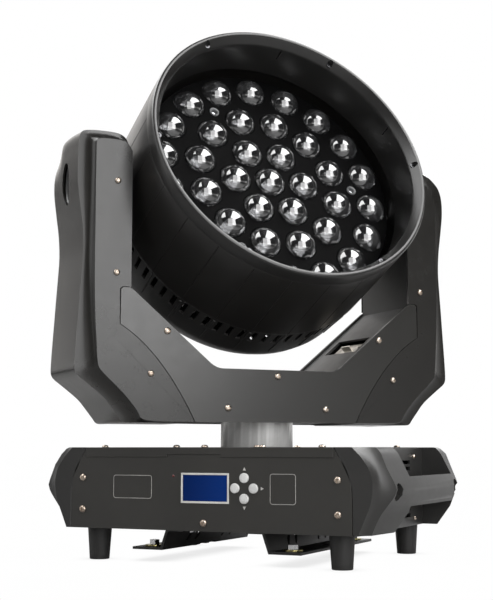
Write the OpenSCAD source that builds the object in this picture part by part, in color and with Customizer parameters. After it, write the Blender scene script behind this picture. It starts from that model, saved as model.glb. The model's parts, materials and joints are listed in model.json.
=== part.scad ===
// Moving head wash light with zoom: base, panning yoke and tilting head, in millimetres.
// The origin is on the floor under the pan axis, with +Z up. The display panel faces -Y,
// which is called the front; +X is the right.

/* [Pose at rest] */
// Pan angle of the yoke at rest, degrees
pan_rest = 50.95; // [-180:0.05:180]
// Tilt of the head above the horizon at rest, degrees
tilt_rest = 23.55; // [0:0.05:90]

/* [Base] */
// Half width of the front and rear panels at the bottom
panel_hw = 175; // [170:1:185]
// Half width of the panels at the top
panel_top_hw = 155; // [150:1:160]
// Half depth of the base box
base_hd = 140.3; // [136:0.1:150]
// Underside height of the base box
base_z0 = 37.5; // [35:0.5:42]
// Top height of the base box
base_z1 = 130.3; // [128:0.1:134]
// Half width over the side covers
side_hw = 220; // [215:1:230]
// Front end of the hand opening in a side cover
grip_y0 = -65; // [-75:1:-50]
// Rear end of the hand opening in a side cover
grip_y1 = 100; // [85:1:104]
// Foot spacing, half, across
foot_x = 152.9; // [145:0.1:160]
// Foot spacing, half, front to back
foot_y = 111.8; // [105:0.1:118]

/* [Display] */
// Display frame width
lcd_w = 60; // [54:0.5:64]
// Display frame height
lcd_h = 33.5; // [30:0.5:40]
// Push button diameter
button_d = 10.9; // [9:0.1:12]

/* [Yoke] */
// Height of the tilt axis above the floor
tilt_z = 437.5; // [430:0.5:445]
// Half gap between the arms
arm_in = 186; // [184:0.5:190]
// Half width over the arm covers
arm_out = 248; // [244:1:252]
// Half depth of the arms
arm_hd = 57.1; // [55:0.1:60]
// Outer radius of the pan tube
tube_r = 44; // [42:0.5:46]

/* [Head] */
// Outer radius of the barrel
barrel_r = 179; // [176:0.5:180]
// Front of the rim, forward of the tilt axis
rim_h = 112; // [105:1:114]
// Front face of the lens plate, forward of the tilt axis
plate_h = 41; // [36:0.5:46]
// Joint line between the barrel and the vented rear cover
seam_h = -22; // [-26:1:-21]
// Rear end of the head
rear_h = -132; // [-140:1:-125]
// Lens diameter
lens_d = 40.4; // [36:0.2:42]
// Radius of the inner lens ring
lens_r1 = 46.6; // [45:0.1:48]
// Radius of the middle lens ring
lens_r2 = 92.2; // [90:0.1:94]
// Radius of the outer lens ring
lens_r3 = 139.7; // [137:0.1:141]
// Radius of the circle of zoom rods
rod_pcr = 115.4; // [114:0.1:117]

/* [Hidden] */
gap = 0.02; // small clearance or overlap where parts meet
$fn = 48;
front = -1; // sides of the Y axis
rear = 1;
belt_pitch = 5;
belt_t = 1.7;
small_wheel_r = 12.6; // belt radius on the motor wheels

// ---------- helpers ----------
function grey(level) = [level, level, level];
function metal(level) = [level, level, level + 0.02];
motor_grey = [0.25, 0.25, 0.26];
screw_grey = [0.7, 0.66, 0.6];
board_green = [0.05, 0.3, 0.15];

function polar(radius, angle) = radius * [cos(angle), sin(angle)];
function corners(x, y) = [[x, y], [x, -y], [-x, y], [-x, -y]];
function reverse(points) = [for (i = [len(points) - 1:-1:0]) points[i]];
// Close the right half of an outline with its mirror image
function symmetric(points) = concat(points, [for (p = reverse(points)) [-p[0], p[1]]]);
// A quadratic curve from start, pulled to pull, ending at stop
function curve(start, pull, stop, steps) = [for (i = [0:steps]) let (t = i / steps)
  (1 - t) * (1 - t) * start + 2 * t * (1 - t) * pull + t * t * stop];
// Timing belt wheel outline: four points to each tooth
function wheel_outline(count) = let (pitch_r = count * belt_pitch / (2 * PI), step = 360 / count)
  [for (k = [0:count - 1], j = [0:3])
    polar(pitch_r - (j < 2 ? 0.4 : 2), step * (k + [0.05, 0.30, 0.55, 0.80][j]))];

module yoke_pose() rotate([0, 0, pan_rest]) children();
module head_pose() yoke_pose() translate([0, 0, tilt_z]) rotate([90 - tilt_rest, 0, 0]) children();
module at_each(points, z = 0) for (p = points) translate([p[0], p[1], z]) children();
module turned(count, start = 0)
  for (k = [0:count - 1]) rotate([0, 0, 360 / count * k + start]) children();
module both_sides() {
  children();
  mirror([1, 0, 0]) children();
}
// Turn +Z to point right
module face_right(at) translate(at) rotate([0, 90, 0]) children();
// Turn +Z to point out of the front or rear, at distance y from the centre, at [x, z] points
module on_face(side, y, points)
  for (p = points) translate([p[0], side * y, p[1]]) rotate([-90 * side, 0, 0]) children();
// Stand an XZ outline up and give it thickness from y0 to y1
module upright(y0, y1) translate([0, max(y0, y1), 0]) rotate([90, 0, 0])
  linear_extrude(abs(y1 - y0)) children();
module disc(radius, z, height) translate([0, 0, z]) cylinder(r = radius, h = height);
module ring(inner, outer, z0, z1) difference() {
  disc(outer, z0, z1 - z0);
  disc(inner, z0 - 1, z1 - z0 + 2);
}
// Block between two opposite corners
module box(a, b) translate([for (i = [0:2]) min(a[i], b[i])])
  cube([for (i = [0:2]) abs(b[i] - a[i])]);
// Pan-head screw, axis +Z, seated on z = 0, cross recess on top.
// A negative shank has no thread and hollows the underside of the head.
module pan_screw(head_d, shank) difference() {
  rotate_extrude() polygon([[0, -shank], [head_d / 4, -shank], [head_d / 4, gap],
    [head_d / 2, gap], [head_d / 2, 0.9], [head_d / 2.6, 2.1], [head_d / 5, 2.7], [0, 2.8]]);
  translate([0, 0, 2.4]) cube([head_d * 0.55, 0.9, 2], center = true);
  translate([0, 0, 2.4]) cube([0.9, head_d * 0.55, 2], center = true);
}
// Motor with its mounting face on z = 0, body up and shaft down
module stepper(length, shaft) {
  width = 56.4;
  linear_extrude(length) difference() {
    square(width, center = true);
    turned(4) translate([width / 2, width / 2]) rotate(45) square(7, center = true);
  }
  disc(19, -1.6, 2);
  disc(3.96, -shaft, shaft + 1);
}
// Flat belt loop round two wheels, the first at the origin
module belt_2d(first_r, second_r, second_at) difference() {
  hull() {
    circle(r = first_r + belt_t, $fn = 96);
    translate(second_at) circle(r = second_r + belt_t, $fn = 64);
  }
  hull() {
    circle(r = first_r, $fn = 96);
    translate(second_at) circle(r = second_r, $fn = 64);
  }
}

// ---------- base panels and chassis ----------
panel_t = 2;
cover_t = 1.2; // top cover sheet
floor_z = base_z0 + 2; // top of the chassis floor
// Panel edge on the right, [x, z]
panel_edge = concat([[panel_hw, base_z0]],
  curve([panel_hw, 78], [panel_hw, 104], [160.5, 119.5], 5),
  [[panel_top_hw, base_z1 - 1.4]]);
// [x, z]
side_screws = [[159.2, 95.4], [159.1, 58.9], [-159.2, 95.4], [-159.1, 58.9]];
front_screws = concat(side_screws, [[-0.5, 46.5]]);
lcd_at = [1.3, 85];
// Up, down, left, right
button_at = [[49.9, 96.7], [49.9, 74.1], [38.6, 85.4], [61.2, 85.4]];
socket_z = 80;
power_x = [-118, -78];
signal_x = [-20, 20, 60, 100];
fuse_at = [-162, 77];
bracket_hole_x = 52;
bracket_hole_y = 75;
tray_wall_x = 150; // outer face of the chassis side walls

module panel_2d() offset(delta = 0) polygon(symmetric(panel_edge));
// Panel with a bottom lip turned in over the floor
module panel(side) {
  upright(side * base_hd, side * (base_hd - panel_t)) panel_2d();
  box([-150, side * (base_hd - panel_t + gap), base_z0 + 2.2],
    [150, side * (base_hd - 14), base_z0 + 4]);
}
module panel_holes(side, points, diameter)
  on_face(side, base_hd - 3, points) cylinder(d = diameter, h = 5);
// Display-shaped block, inset from the frame edge
module lcd_block(inset, y0, y1) box(
  [lcd_at[0] - lcd_w / 2 + inset, y0, lcd_at[1] - lcd_h / 2 + inset],
  [lcd_at[0] + lcd_w / 2 - inset, y1, lcd_at[1] + lcd_h / 2 - inset]);

module front_panel() color(grey(0.16)) difference() {
  panel(front);
  lcd_block(2, -base_hd - 1, -base_hd + 3);
  panel_holes(front, button_at, button_d + 0.14);
  panel_holes(front, front_screws, 4.4);
}
module rear_panel() color(grey(0.16)) difference() {
  panel(rear);
  for (x = power_x) box([x - 13.6, base_hd - 3, 64], [x + 13.6, base_hd + 1, 96]);
  panel_holes(rear, [for (x = signal_x) [x, socket_z]], 24.4);
  panel_holes(rear, [fuse_at], 13.4);
  panel_holes(rear, side_screws, 4.4);
}
module base_chassis() color(grey(0.2)) difference() {
  union() {
    box([-174, -base_hd + 2.2, base_z0], [174, base_hd - 2.2, floor_z]);
    both_sides() {
      box([tray_wall_x - 2, -base_hd + 16, floor_z - 0.1], [tray_wall_x, base_hd - 16, 126]);
      // ledge under the bearing plate
      box([130, -90, 110], [148.1, 90, 112 - gap]);
      // rail that holds the side cover
      box([tray_wall_x - 0.1, -60, 118], [172, 96, 120]);
    }
  }
  at_each(concat(corners(foot_x, foot_y), corners(bracket_hole_x, bracket_hole_y)), base_z0 - 1)
    cylinder(d = 5.2, h = 5);
  // slots through the floor and the side walls
  for (x = [-140:14:140]) translate([x, -104, base_z0 - 1]) cube([6, 26, 5]);
  both_sides() for (z = [100, 107]) box([147, -20, z], [151, 80, z + 3]);
  // holes under the pan motor
  for (x = [-124, -76], y = [25, 66]) translate([x, y, base_z0 - 1]) cylinder(d = 4.2, h = 5);
}
module base_top_cover() color(grey(0.17)) difference() {
  union() {
    box([-panel_top_hw, -base_hd - cover_t, base_z1 - cover_t],
      [panel_top_hw, base_hd + cover_t, base_z1]);
    // turned-down front and rear edges, notched along the bottom
    for (side = [front, rear]) difference() {
      box([-panel_top_hw, side * (base_hd + gap), 119.2],
        [panel_top_hw, side * (base_hd + cover_t), base_z1 - 1.1]);
      box([-47, side * (base_hd - 1), 118], [21, side * (base_hd + 2), 122.4]);
    }
  }
  disc(tube_r + 3, 120, 20);
}

// ---------- side covers ----------
// Moulded cover with a hand opening above and below a grip bar, drawn for the right.
// All outlines are [x, z].
wall_x = 178; // outer face of the inner wall
side_outline = [[177.3, base_z0], [196.3, base_z0], [213, 60], [219, 75], [side_hw, 80],
  [side_hw, 86], [218, 92], [202.5, 122.4], [197, base_z1 - 1], [194, base_z1],
  [155.4, base_z1], [155.4, 128], [177.3, 84]];
side_end = [[176, base_z0], [wall_x, base_z0], [wall_x, 90], [170, 120], [158, base_z1],
  [155.4, base_z1], [165, 118], [176, 84]];
hollow_outline = [[150, base_z0 + 3], [194, base_z0 + 3], [210, 60], [216.6, 80], [216.6, 86],
  [199, 122], [192, base_z1 - 3], [150, base_z1 - 3]];
hollow_end = [[150, base_z0 + 3], [174, base_z0 + 3], [174, 84], [156, base_z1 - 4],
  [150, base_z1 - 4]];
bar_outline = [[196, 68], [214.2, 66.4], [219, 75], [side_hw, 80], [side_hw, 86], [218, 92],
  [214.4, 98.4], [196, 97]];
bar_channel = [[195, 72], [213, 70], [216.6, 81], [216.6, 85], [212.8, 94.6], [195, 93]];

module side_slab(y0, y1) upright(y0, y1) offset(delta = 0) polygon(side_outline);
module panel_keepout() upright(-base_hd - 5, base_hd + 5) union() {
  offset(delta = 0.3) panel_2d();
  square([2 * (panel_top_hw + 0.3), 2 * base_z1], center = true);
}
// One end of the cover: full section from grip_y to crest_y, tapering to end_y
module cheek(grip_y, crest_y, end_y) {
  side = sign(end_y);
  difference() {
    union() {
      side_slab(grip_y, crest_y);
      hull() {
        side_slab(crest_y - 0.05, crest_y + 0.05);
        upright(end_y - 0.4, end_y + 0.4) polygon(side_end);
      }
    }
    // hollow inside the moulding, open towards the base box
    hull() {
      upright(grip_y + side * 3, crest_y) polygon(hollow_outline);
      upright(end_y - side * 4, end_y - side * 5) polygon(hollow_end);
    }
  }
}
// Closed round its outside, with an open channel behind
module grip_bar() difference() {
  upright(grip_y0 - 1, grip_y1 + 1) polygon(bar_outline);
  upright(grip_y0 + 4, grip_y1 - 4) polygon(bar_channel);
}
// Slotted wall behind the hand opening, with a flange over the top
module inner_wall() difference() {
  union() {
    box([wall_x - 2.4, grip_y0 - 1, base_z0], [wall_x, grip_y1 + 1, base_z1]);
    box([155.4, grip_y0 - 1, base_z1 - 2.4], [176, grip_y1 + 1, base_z1]);
    box([176, grip_y0 - 1, base_z0], [196.3, grip_y0 + 2, base_z0 + 2.4]);
  }
  for (z = [48, 55.4, 103, 110.4]) box([170, 14, z], [180, 52, z + 4.4]);
}
module side_cover() color(grey(0.15)) difference() {
  union() {
    cheek(grip_y0, -123, -base_hd + 0.5);
    cheek(grip_y1, 119, base_hd - 0.5);
    grip_bar();
    inner_wall();
  }
  panel_keepout();
  for (y = [-105, 107]) face_right([side_hw - 7, y, 83]) cylinder(d = 11, h = 20);
}
module side_cover_right() side_cover();
module side_cover_left() mirror([1, 0, 0]) side_cover();

module rubber_feet() color(grey(0.07)) at_each(corners(foot_x, foot_y)) difference() {
  cylinder(r1 = 11.6, r2 = 14.2, h = base_z0 - gap);
  disc(5, -1, 13);
  disc(2.6, 10, 40);
}

// ---------- display and buttons ----------
module display_frame() color("white") upright(-base_hd - 0.9, -base_hd - gap) difference() {
  translate(lcd_at) square([lcd_w, lcd_h], center = true);
  translate(lcd_at) square([lcd_w - 4.4, lcd_h - 4.4], center = true);
}
// Screen, with its wider board behind
module lcd_module() color([0.02, 0.1, 0.5]) {
  lcd_block(2.3, -base_hd + 0.2, -base_hd + 2.4);
  box([lcd_at[0] - 33, -base_hd + 2.2, lcd_at[1] - 21],
    [lcd_at[0] + lcd_w / 2 - 2.3, -base_hd + 7, lcd_at[1] + 21]);
}
// [radius, height] from the panel face, with a retaining collar behind the panel
button_r = button_d / 2;
button_profile = [[0, -6.2], [button_r - 1, -6.2], [button_r - 1, -4], [button_r + 1.2, -4],
  [button_r + 1.2, -2.1], [button_r, -2.1], [button_r, 1.6], [button_r - 0.8, 2.5],
  [2.4, 3], [0, 3]];
module button(index) color(grey(0.85)) on_face(front, base_hd, [button_at[index]])
  rotate_extrude() polygon(button_profile);
module button_up() button(0);
module button_down() button(1);
module button_left() button(2);
module button_right() button(3);

// ---------- base electronics and sockets ----------
module control_board() color(board_green) {
  box([-70, -base_hd + 7.8, 55], [90, -base_hd + 9.4, 112]);
  box([-60, -base_hd + 9.3, 62], [-38, -base_hd + 12.4, 84]);
  box([60, -base_hd + 9.3, 62], [84, -base_hd + 18, 74]);
}
// Case with a terminal block in front and slots across the top
module power_supply() color([0.75, 0.75, 0.76]) difference() {
  union() {
    box([74, -112, floor_z + 0.1], [146, 32, 82]);
    box([76, -118, 60], [144, -111.9, 70]);
  }
  for (y = [-100:9:20]) box([84, y, 80.5], [136, y + 4, 83]);
}
// Board on four posts, with blocks and upright cylinders on top
module driver_board() color([0.05, 0.25, 0.4]) {
  board_z = 46;
  box([-146, -112, board_z], [-74, -8, board_z + 1.6]);
  for (x = [-140, -80], y = [-106, -14]) translate([x, y, floor_z + 0.1])
    cylinder(d = 6, h = board_z + 0.05 - floor_z - 0.1);
  for (y = [-98, -74, -50]) box([-134, y, board_z + 1.5], [-116, y + 15, 52]);
  for (y = [-96, -70, -44]) translate([-96, y, board_z + 1.5]) cylinder(d = 14, h = 20);
}
// Blue socket and grey socket
module power_sockets() for (x = power_x)
  color(x < -100 ? [0.1, 0.25, 0.6] : [0.55, 0.55, 0.58]) difference() {
    union() {
      box([x - 13, base_hd - 30, 64.4], [x + 13, base_hd + 0.2, 95.6]);
      box([x - 16, base_hd + gap, 61.5], [x + 16, base_hd + 2.4, 98.5]);
    }
    on_face(rear, base_hd - 16, [[x, socket_z]]) cylinder(d = 21, h = 30);
  }
// Round sockets, every other one with three pins
module signal_sockets() color([0.3, 0.3, 0.31]) for (i = [0:3]) {
  socket_at = [signal_x[i], socket_z];
  difference() {
    union() {
      on_face(rear, base_hd - 24, [socket_at]) cylinder(d = 24, h = 24.2);
      on_face(rear, base_hd + gap, [socket_at]) cylinder(d = 27, h = 2.4);
    }
    on_face(rear, base_hd - 14, [socket_at]) cylinder(d = 19, h = 20);
  }
  if (i % 2 == 0)
    on_face(rear, base_hd - 14.1, [for (k = [0:2]) socket_at + polar(5, 120 * k + 30)])
      cylinder(d = 2.4, h = 12);
}
module fuse_holder() color(grey(0.1)) difference() {
  union() {
    on_face(rear, base_hd - 26, [fuse_at]) cylinder(d = 13, h = 26.1);
    on_face(rear, base_hd + gap, [fuse_at]) cylinder(d = 17, h = 7);
  }
  box([-166, base_hd + 5.6, 76.4], [-158, base_hd + 9, 77.6]);
}

// ---------- pan drive ----------
pan_motor_at = [-100, 45];
bearing_r = 56;
bearing_split_r = 49; // between the two races
bearing_z0 = 98;
bearing_z1 = 111.9;
flange_hole_r = 48.8; // circle of six screws joining the tube to the yoke
pan_belt_r = 63.5; // belt radius on the large wheel
shaft_hole_r = 4;

module pan_bearing_plate() color(metal(0.55)) difference() {
  union() {
    box([-147.8, -76, 112], [147.8, 76, 115]);
    disc(63, 97.6, 15);
  }
  disc(bearing_r + gap, 90, 22);
  disc(51, 90, 40);
  at_each([for (p = corners(23.6, 23.6)) pan_motor_at + p], 110) cylinder(d = 5.2, h = 8);
}
module pan_bearing_outer() color(metal(0.8))
  ring(bearing_split_r + 0.06, bearing_r, bearing_z0, bearing_z1);
module pan_bearing_inner() color(metal(0.82))
  ring(tube_r + gap, bearing_split_r, bearing_z0, bearing_z1);
module pan_tube() color(grey(0.8)) difference() {
  union() {
    disc(tube_r, 45, 119.3);
    disc(53.5, 164.2, 4);
  }
  disc(tube_r - 4, 40, 140);
  turned(6) translate([flange_hole_r, 0, 160]) cylinder(d = 5.2, h = 12);
}
module pan_pulley() color(metal(0.7)) difference() {
  union() {
    translate([0, 0, 48]) linear_extrude(12) polygon(wheel_outline(80));
    disc(67, 46.4, 1.62);
    disc(67, 59.98, 1.62);
    disc(52, 61, 12);
  }
  disc(tube_r + gap, 40, 40);
}
module pan_motor() color(motor_grey) {
  plate_z1 = 67.12;
  translate(concat(pan_motor_at, plate_z1 - gap)) stepper(44.7, 19);
  // mounting plate
  difference() {
    box(concat(pan_motor_at - [30, 30], 63.2), concat(pan_motor_at + [30, 30], plate_z1));
    translate(concat(pan_motor_at, 60)) cylinder(r = 14.6, h = 6);
  }
  // two posts under its left side
  at_each([[-124, 25], [-124, 66]], floor_z + gap) cylinder(r = 3.4, h = 24);
}
module pan_motor_pulley() color(metal(0.75)) translate(pan_motor_at) difference() {
  union() {
    translate([0, 0, 48.2]) linear_extrude(11.6) polygon(wheel_outline(16));
    disc(15, 46.6, 1.62);
    disc(14.2, 59.78, 1.6);
  }
  disc(shaft_hole_r, 40, 40);
}
module pan_belt() color(grey(0.06)) translate([0, 0, 49]) linear_extrude(10)
  belt_2d(pan_belt_r, small_wheel_r, pan_motor_at);

// ---------- brackets under the base ----------
clamp_x = 88;
clamp_y = 95;
clamp_top_z = 16;
bracket_bolt_x = bracket_hole_x - 2.5;
// Section of the bent sheet, [x, z]
bracket_outline = [[40, base_z0 - gap], [40, base_z0 - 3], [59.5, base_z0 - 3], [67, 13],
  [106, 13], [106, clamp_top_z], [69.4, clamp_top_z], [61.8, base_z0 - gap]];

module clamp_bracket() color(grey(0.05)) difference() {
  upright(-115, 115) polygon(bracket_outline);
  for (y = [-clamp_y, clamp_y]) translate([clamp_x, y, 0]) cylinder(d = 8.4, h = 30);
  translate([clamp_x, 0, 0]) cylinder(d = 13, h = 30);
  for (y = [-bracket_hole_y, bracket_hole_y]) translate([bracket_bolt_x, y, 20])
    cylinder(d = 5.2, h = 30);
  // slanted slots in the leaning web, then square ones at its foot
  for (y = [-62, -40, 30, 52]) face_right([50, y, 25]) linear_extrude(30)
    polygon([[5, 0], [-5, 5], [-5, 14], [5, 4]]);
  for (y = [-20, 4]) box([60, y, 10], [72, y + 16, 15]);
}
module clamp_bracket_right() clamp_bracket();
module clamp_bracket_left() mirror([1, 0, 0]) clamp_bracket();
module clamp_bolts() color(grey(0.75)) {
  at_each(corners(clamp_x, clamp_y), clamp_top_z + 1.6) {
    cylinder(d = 12.8, h = 5.6, $fn = 6);
    translate([0, 0, -4.5]) cylinder(d = 7.9, h = 5);
  }
  // bolts that hold the brackets to the base, heads down
  at_each(corners(bracket_bolt_x, bracket_hole_y), base_z0 - 3 - gap) rotate([180, 0, 0]) {
    cylinder(d = 9, h = 3.4);
    translate([0, 0, -2.8]) cylinder(d = 4.9, h = 3);
  }
}
module clamp_washers() color([0.8, 0.7, 0.3]) at_each(corners(clamp_x, clamp_y))
  ring(4.2, 11, clamp_top_z + gap, clamp_top_z + 1.6 - gap);
// Plate under the base with an eye hanging from it
module safety_loop() color(metal(0.6)) difference() {
  union() {
    box([-30, 95, base_z0 - 3], [30, 117, base_z0 - gap]);
    upright(104, 108) hull() {
      translate([0, 24]) circle(r = 13);
      translate([-17, base_z0 - 3]) square([34, 2]);
    }
  }
  on_face(rear, 90, [[0, 21.5]]) cylinder(r = 6.5, h = 30);
}
// Screws in the top cover, [x, y]
top_screws = [[-137, -128], [-40, -131], [-3, -133], [56, -120], [66, -128], [137, -128],
  [-137, 128], [0, 128], [137, 128]];
module base_screws() color(screw_grey) {
  on_face(front, base_hd + gap, front_screws) pan_screw(8, 5);
  on_face(rear, base_hd + gap, side_screws) pan_screw(8, 5);
  at_each(top_screws, base_z1 + gap) pan_screw(8, -1);
  both_sides() for (z = [46, 119]) face_right([wall_x + gap, 66, z]) pan_screw(5, -1);
}

// ---------- yoke, in its own frame with the arms along X ----------
frame_hd = 53.8; // half depth of the bent sheet
frame_x = arm_in + 3; // outer face of its arm walls
frame_top_z = 469.5;
// Right half of the bent sheet: arm wall, incline and floor, [x, z]
frame_half = [[81.1, 218.6], [arm_in, 306.4], [arm_in, frame_top_z],
  [frame_x, frame_top_z], [frame_x, 305], [82.2, 215.6]];
// Underside and top edge of the right half of a yoke plate, [x, z]
plate_curve = curve([198.3, 268.3], [147, 239], [106.3, 159.3], 9);
plate_top = concat([[198, 307.5], [195.5, 310], [187.5, 310], [183.2, 307.6]],
  curve([87, 227.4], [79.6, 221.6], [71, 221.6], 4));
plate_holes = [[141.4, 262.4], [-141.4, 262.4], [64.9, 175.5], [-64.9, 175.5], [0, 214]];

// Latch frame: origin at the middle of the opening in the right incline, X up the slope, Z out
module latch_pose() translate([129.1, 0, 258.7]) rotate([0, -39.9, 0]) children();
module yoke_frame() color(grey(0.2)) yoke_pose() difference() {
  union() {
    upright(-frame_hd, frame_hd) polygon(symmetric(frame_half));
    box([-104, -frame_hd, 160.6], [104, frame_hd, 164]);
    both_sides() box([76, -frame_hd, 163.9], [79, frame_hd, 216]);
  }
  disc(tube_r + 0.3, 155, 20);
  turned(6) translate([flange_hole_r, 0, 155]) cylinder(d = 4.2, h = 12);
  both_sides() face_right([arm_in - 1, 0, tilt_z]) cylinder(r = 24, h = 6);
  latch_pose() cube([29, 77, 12], center = true);
}
module yoke_plate(side) color([0.28, 0.27, 0.26]) yoke_pose() difference() {
  upright(side * (54 + gap), side * arm_hd)
    polygon(symmetric(concat(reverse(plate_curve), plate_top)));
  on_face(side, 50, plate_holes) cylinder(d = 4.4, h = 9);
}
module yoke_plate_front() yoke_plate(front);
module yoke_plate_rear() yoke_plate(rear);

// ---------- arm covers ----------
// Outlines of the right cover, [x, z]; plate_curve closes the first one
arm_edge = [[106.6, 158], [190, 158], [196, 164.6], [213.8, 186], [243.7, 209], [247, 213],
  [arm_out, 221], [247, 243], [243, 305], [239.8, 355], [241.3, 380], [247.6, 426],
  [arm_out, 440], [247.6, 462], [247, 477], [245.6, 485.5], [241, 489.5], [225, 491],
  [205, 491], [196, 489.5], [190, 485], [186.1, 474], [186.1, 310.6], [195.7, 310.6],
  [198.5, 308]];
// Inner side of both hollows, from the top of the arm wall down to the yoke floor
arm_inner = [[189.3, 469.8], [184, 469.8], [184, 304], [194, 303], [194, 276]];
arm_hollow = concat([[96, 161], [188.6, 161], [193.8, 167], [211.8, 188.6], [240.6, 211.4],
  [244, 216], [244.9, 221.4], [244, 243], [240, 305], [236.8, 355], [238.3, 380],
  [244.4, 426], [244.9, 440], [243, 453.6], [238, 463.6], [230.4, 470.4], [216, 479.2],
  [207, 483], [199.6, 483], [196, 480.4], [191, 474]],
  arm_inner, [[140, 241], [96, 166]]);
// Narrower across, but nearly the full depth of the arm
deep_hollow = concat([[96, 161], [163, 161], [205, 205], [218, 217], [224, 250], [226, 310],
  [226, 466], [199, 468]],
  arm_inner, [[140, 241], [96, 166]]);
top_hollow = [[201.3, 458.3], [244.4, 458.3], [243.8, 476], [242.6, 483], [239.6, 486.2],
  [224.5, 487.8], [206, 487.8], [201.3, 487]];
// The top is nearly square at the rear; five slanted cuts round it off towards the front
crown = [[246.6, 452], [240, 466], [232, 473], [217, 482], [207, 486], [187, 486]];
crown_depths = [13.8, 18.7, 19.1, 16.2, 5.4];
badge_z = 435;

module crown_cut(start, stop, depth) {
  normal = [stop[1] - start[1], start[0] - stop[0]] / norm(stop - start);
  middle = (start + stop) / 2;
  translate([middle[0], 0, middle[1]]) rotate([0, -atan2(normal[1], normal[0]), 0])
    translate([0, 0, -40]) linear_extrude(80)
      polygon([[0, -arm_hd - 0.02], [depth, -20], [depth * 1.4, -5.2], [70, -5.2],
        [70, -arm_hd - 9], [0, -arm_hd - 9]]);
}
// Chamfers of the front edges: outer side, lower slope and top
module arm_chamfers(top_z) {
  translate([0, 0, 205]) linear_extrude(300)
    polygon([[229.6, -arm_hd - 0.01], [246.4, -47], [262, -38], [262, -arm_hd - 9]]);
  translate([208, 0, 203]) rotate([0, 51, 0]) translate([0, 0, -85]) linear_extrude(200)
    polygon([[-1.5, -arm_hd - 0.01], [13, -47], [34, -34], [60, -34], [60, -arm_hd - 9]]);
  face_right([150, 0, top_z]) linear_extrude(150)
    polygon([[2, -arm_hd - 0.01], [-8, -47], [-20, -36], [-40, -36], [-40, -arm_hd - 9]]);
}
module badge_2d(inset = 0)
  polygon([for (k = [0:35]) [(25 - inset) * cos(10 * k), (13 - inset) * sin(10 * k)]]);
module arm_cover() difference() {
  upright(-arm_hd, arm_hd) polygon(concat(arm_edge, [for (p = plate_curve) p + [0.45, 0]]));
  arm_chamfers(476);
  mirror([0, 1, 0]) arm_chamfers(481);
  for (i = [0:4]) crown_cut(crown[i], crown[i + 1], crown_depths[i]);
  // hollows, open towards the yoke
  upright(-45.5, 45.5) polygon(arm_hollow);
  upright(-54, 54) polygon(deep_hollow);
  upright(-16, 44.6) polygon(top_hollow);
  // oval opening for the badge
  face_right([236, 0, badge_z]) linear_extrude(20) badge_2d();
}
module arm_cover_right() color(grey(0.15)) yoke_pose() arm_cover();
module arm_cover_left() color(grey(0.15)) yoke_pose() rotate([0, 0, 180]) arm_cover();
module arm_badges() color(grey(0.3)) yoke_pose() both_sides()
  face_right([240.4, 0, badge_z]) linear_extrude(2.6) badge_2d(0.2);

// ---------- tilt drive and yoke parts ----------
hub_r = 18;
tilt_bearing_r = 27;
tilt_belt_r = 38.05; // belt radius on the large wheel
tilt_motor_z = 240;
tilt_motor_x = -196.5; // mounting face

// Bearing ring in a housing with three lugs
module tilt_bearings() color(metal(0.8)) yoke_pose() both_sides() face_right([0, 0, tilt_z]) {
  seat = frame_x + 0.1;
  ring(hub_r + 0.05, tilt_bearing_r, seat, 200);
  difference() {
    translate([0, 0, seat]) union() {
      cylinder(r = 30.5, h = 10);
      for (a = [0, 90, 270]) rotate([0, 0, a]) {
        translate([36, 0, 0]) cylinder(r = 5.5, h = 3);
        translate([20, -5.5, 0]) cube([16, 11, 3]);
      }
    }
    disc(tilt_bearing_r + gap, 185, 40);
    for (a = [0, 90, 270]) rotate([0, 0, a]) translate([37, 0, 185]) cylinder(d = 4.2, h = 12);
  }
}
// Motor in the left arm, on a plate held off the arm wall by two posts
module tilt_motor() color(motor_grey) yoke_pose() {
  face_right([tilt_motor_x, 0, tilt_motor_z]) stepper(42, 18);
  difference() {
    union() {
      box([-200.4, -34, 190], [tilt_motor_x + 0.1, 34, 326]);
      for (y = [-24, 24]) face_right([tilt_motor_x, y, 318])
        cylinder(r = 4, h = -tilt_motor_x - frame_x - gap);
    }
    face_right([-202, 0, tilt_motor_z]) cylinder(r = 19.05, h = 8);
  }
}
module tilt_motor_pulley() color(metal(0.75)) yoke_pose()
  face_right([-214, 0, tilt_motor_z]) difference() {
    union() {
      translate([0, 0, 1.6]) linear_extrude(10.2) polygon(wheel_outline(16));
      cylinder(r = 14.4, h = 1.62);
    }
    disc(shaft_hole_r, -1, 20);
  }
module tilt_belt() color(grey(0.06)) yoke_pose() face_right([-211.4, 0, tilt_z])
  linear_extrude(8) belt_2d(tilt_belt_r, small_wheel_r, [tilt_z - tilt_motor_z, 0]);
// Bent plate with an upright tab and two holes
module tilt_lock_latch() color(grey(0.7)) yoke_pose() latch_pose() difference() {
  union() {
    box([-16, -30, -7.4], [10, 30, -5]);
    box([-16, -30, -20], [-13.6, 30, -7]);
    box([-3, -10, -5.1], [-0.6, 10, 1.4]);
  }
  for (y = [-20, 20]) translate([2, y, -10]) cylinder(r = 2.6, h = 8);
}
// Board in the right arm, with four blocks reaching out to the cover
module yoke_board() color(board_green) yoke_pose() {
  board_x = 222;
  box([board_x, -40, 255], [board_x + 1.6, 40, 375]);
  box([214, -30, 270], [board_x + 0.1, -6, 300]);
  box([216, 4, 300], [board_x + 0.1, 30, 350]);
  for (y = [-36, 34], z = [262, 366]) box([board_x + 1.5, y, z - 3], [235.5, y + 5, z + 3]);
}
// Screws in the arm covers, [x, z] on the right
arm_screws = [[203.7, 326.2], [161.3, 213.2], [203.5, 432]];
module yoke_screws() color(screw_grey) yoke_pose() for (side = [front, rear]) {
  on_face(side, arm_hd + gap, plate_holes) pan_screw(8, 3);
  on_face(side, arm_hd + gap, concat(arm_screws, [for (p = arm_screws) [-p[0], p[1]]]))
    pan_screw(7.4, -1);
}

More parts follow.
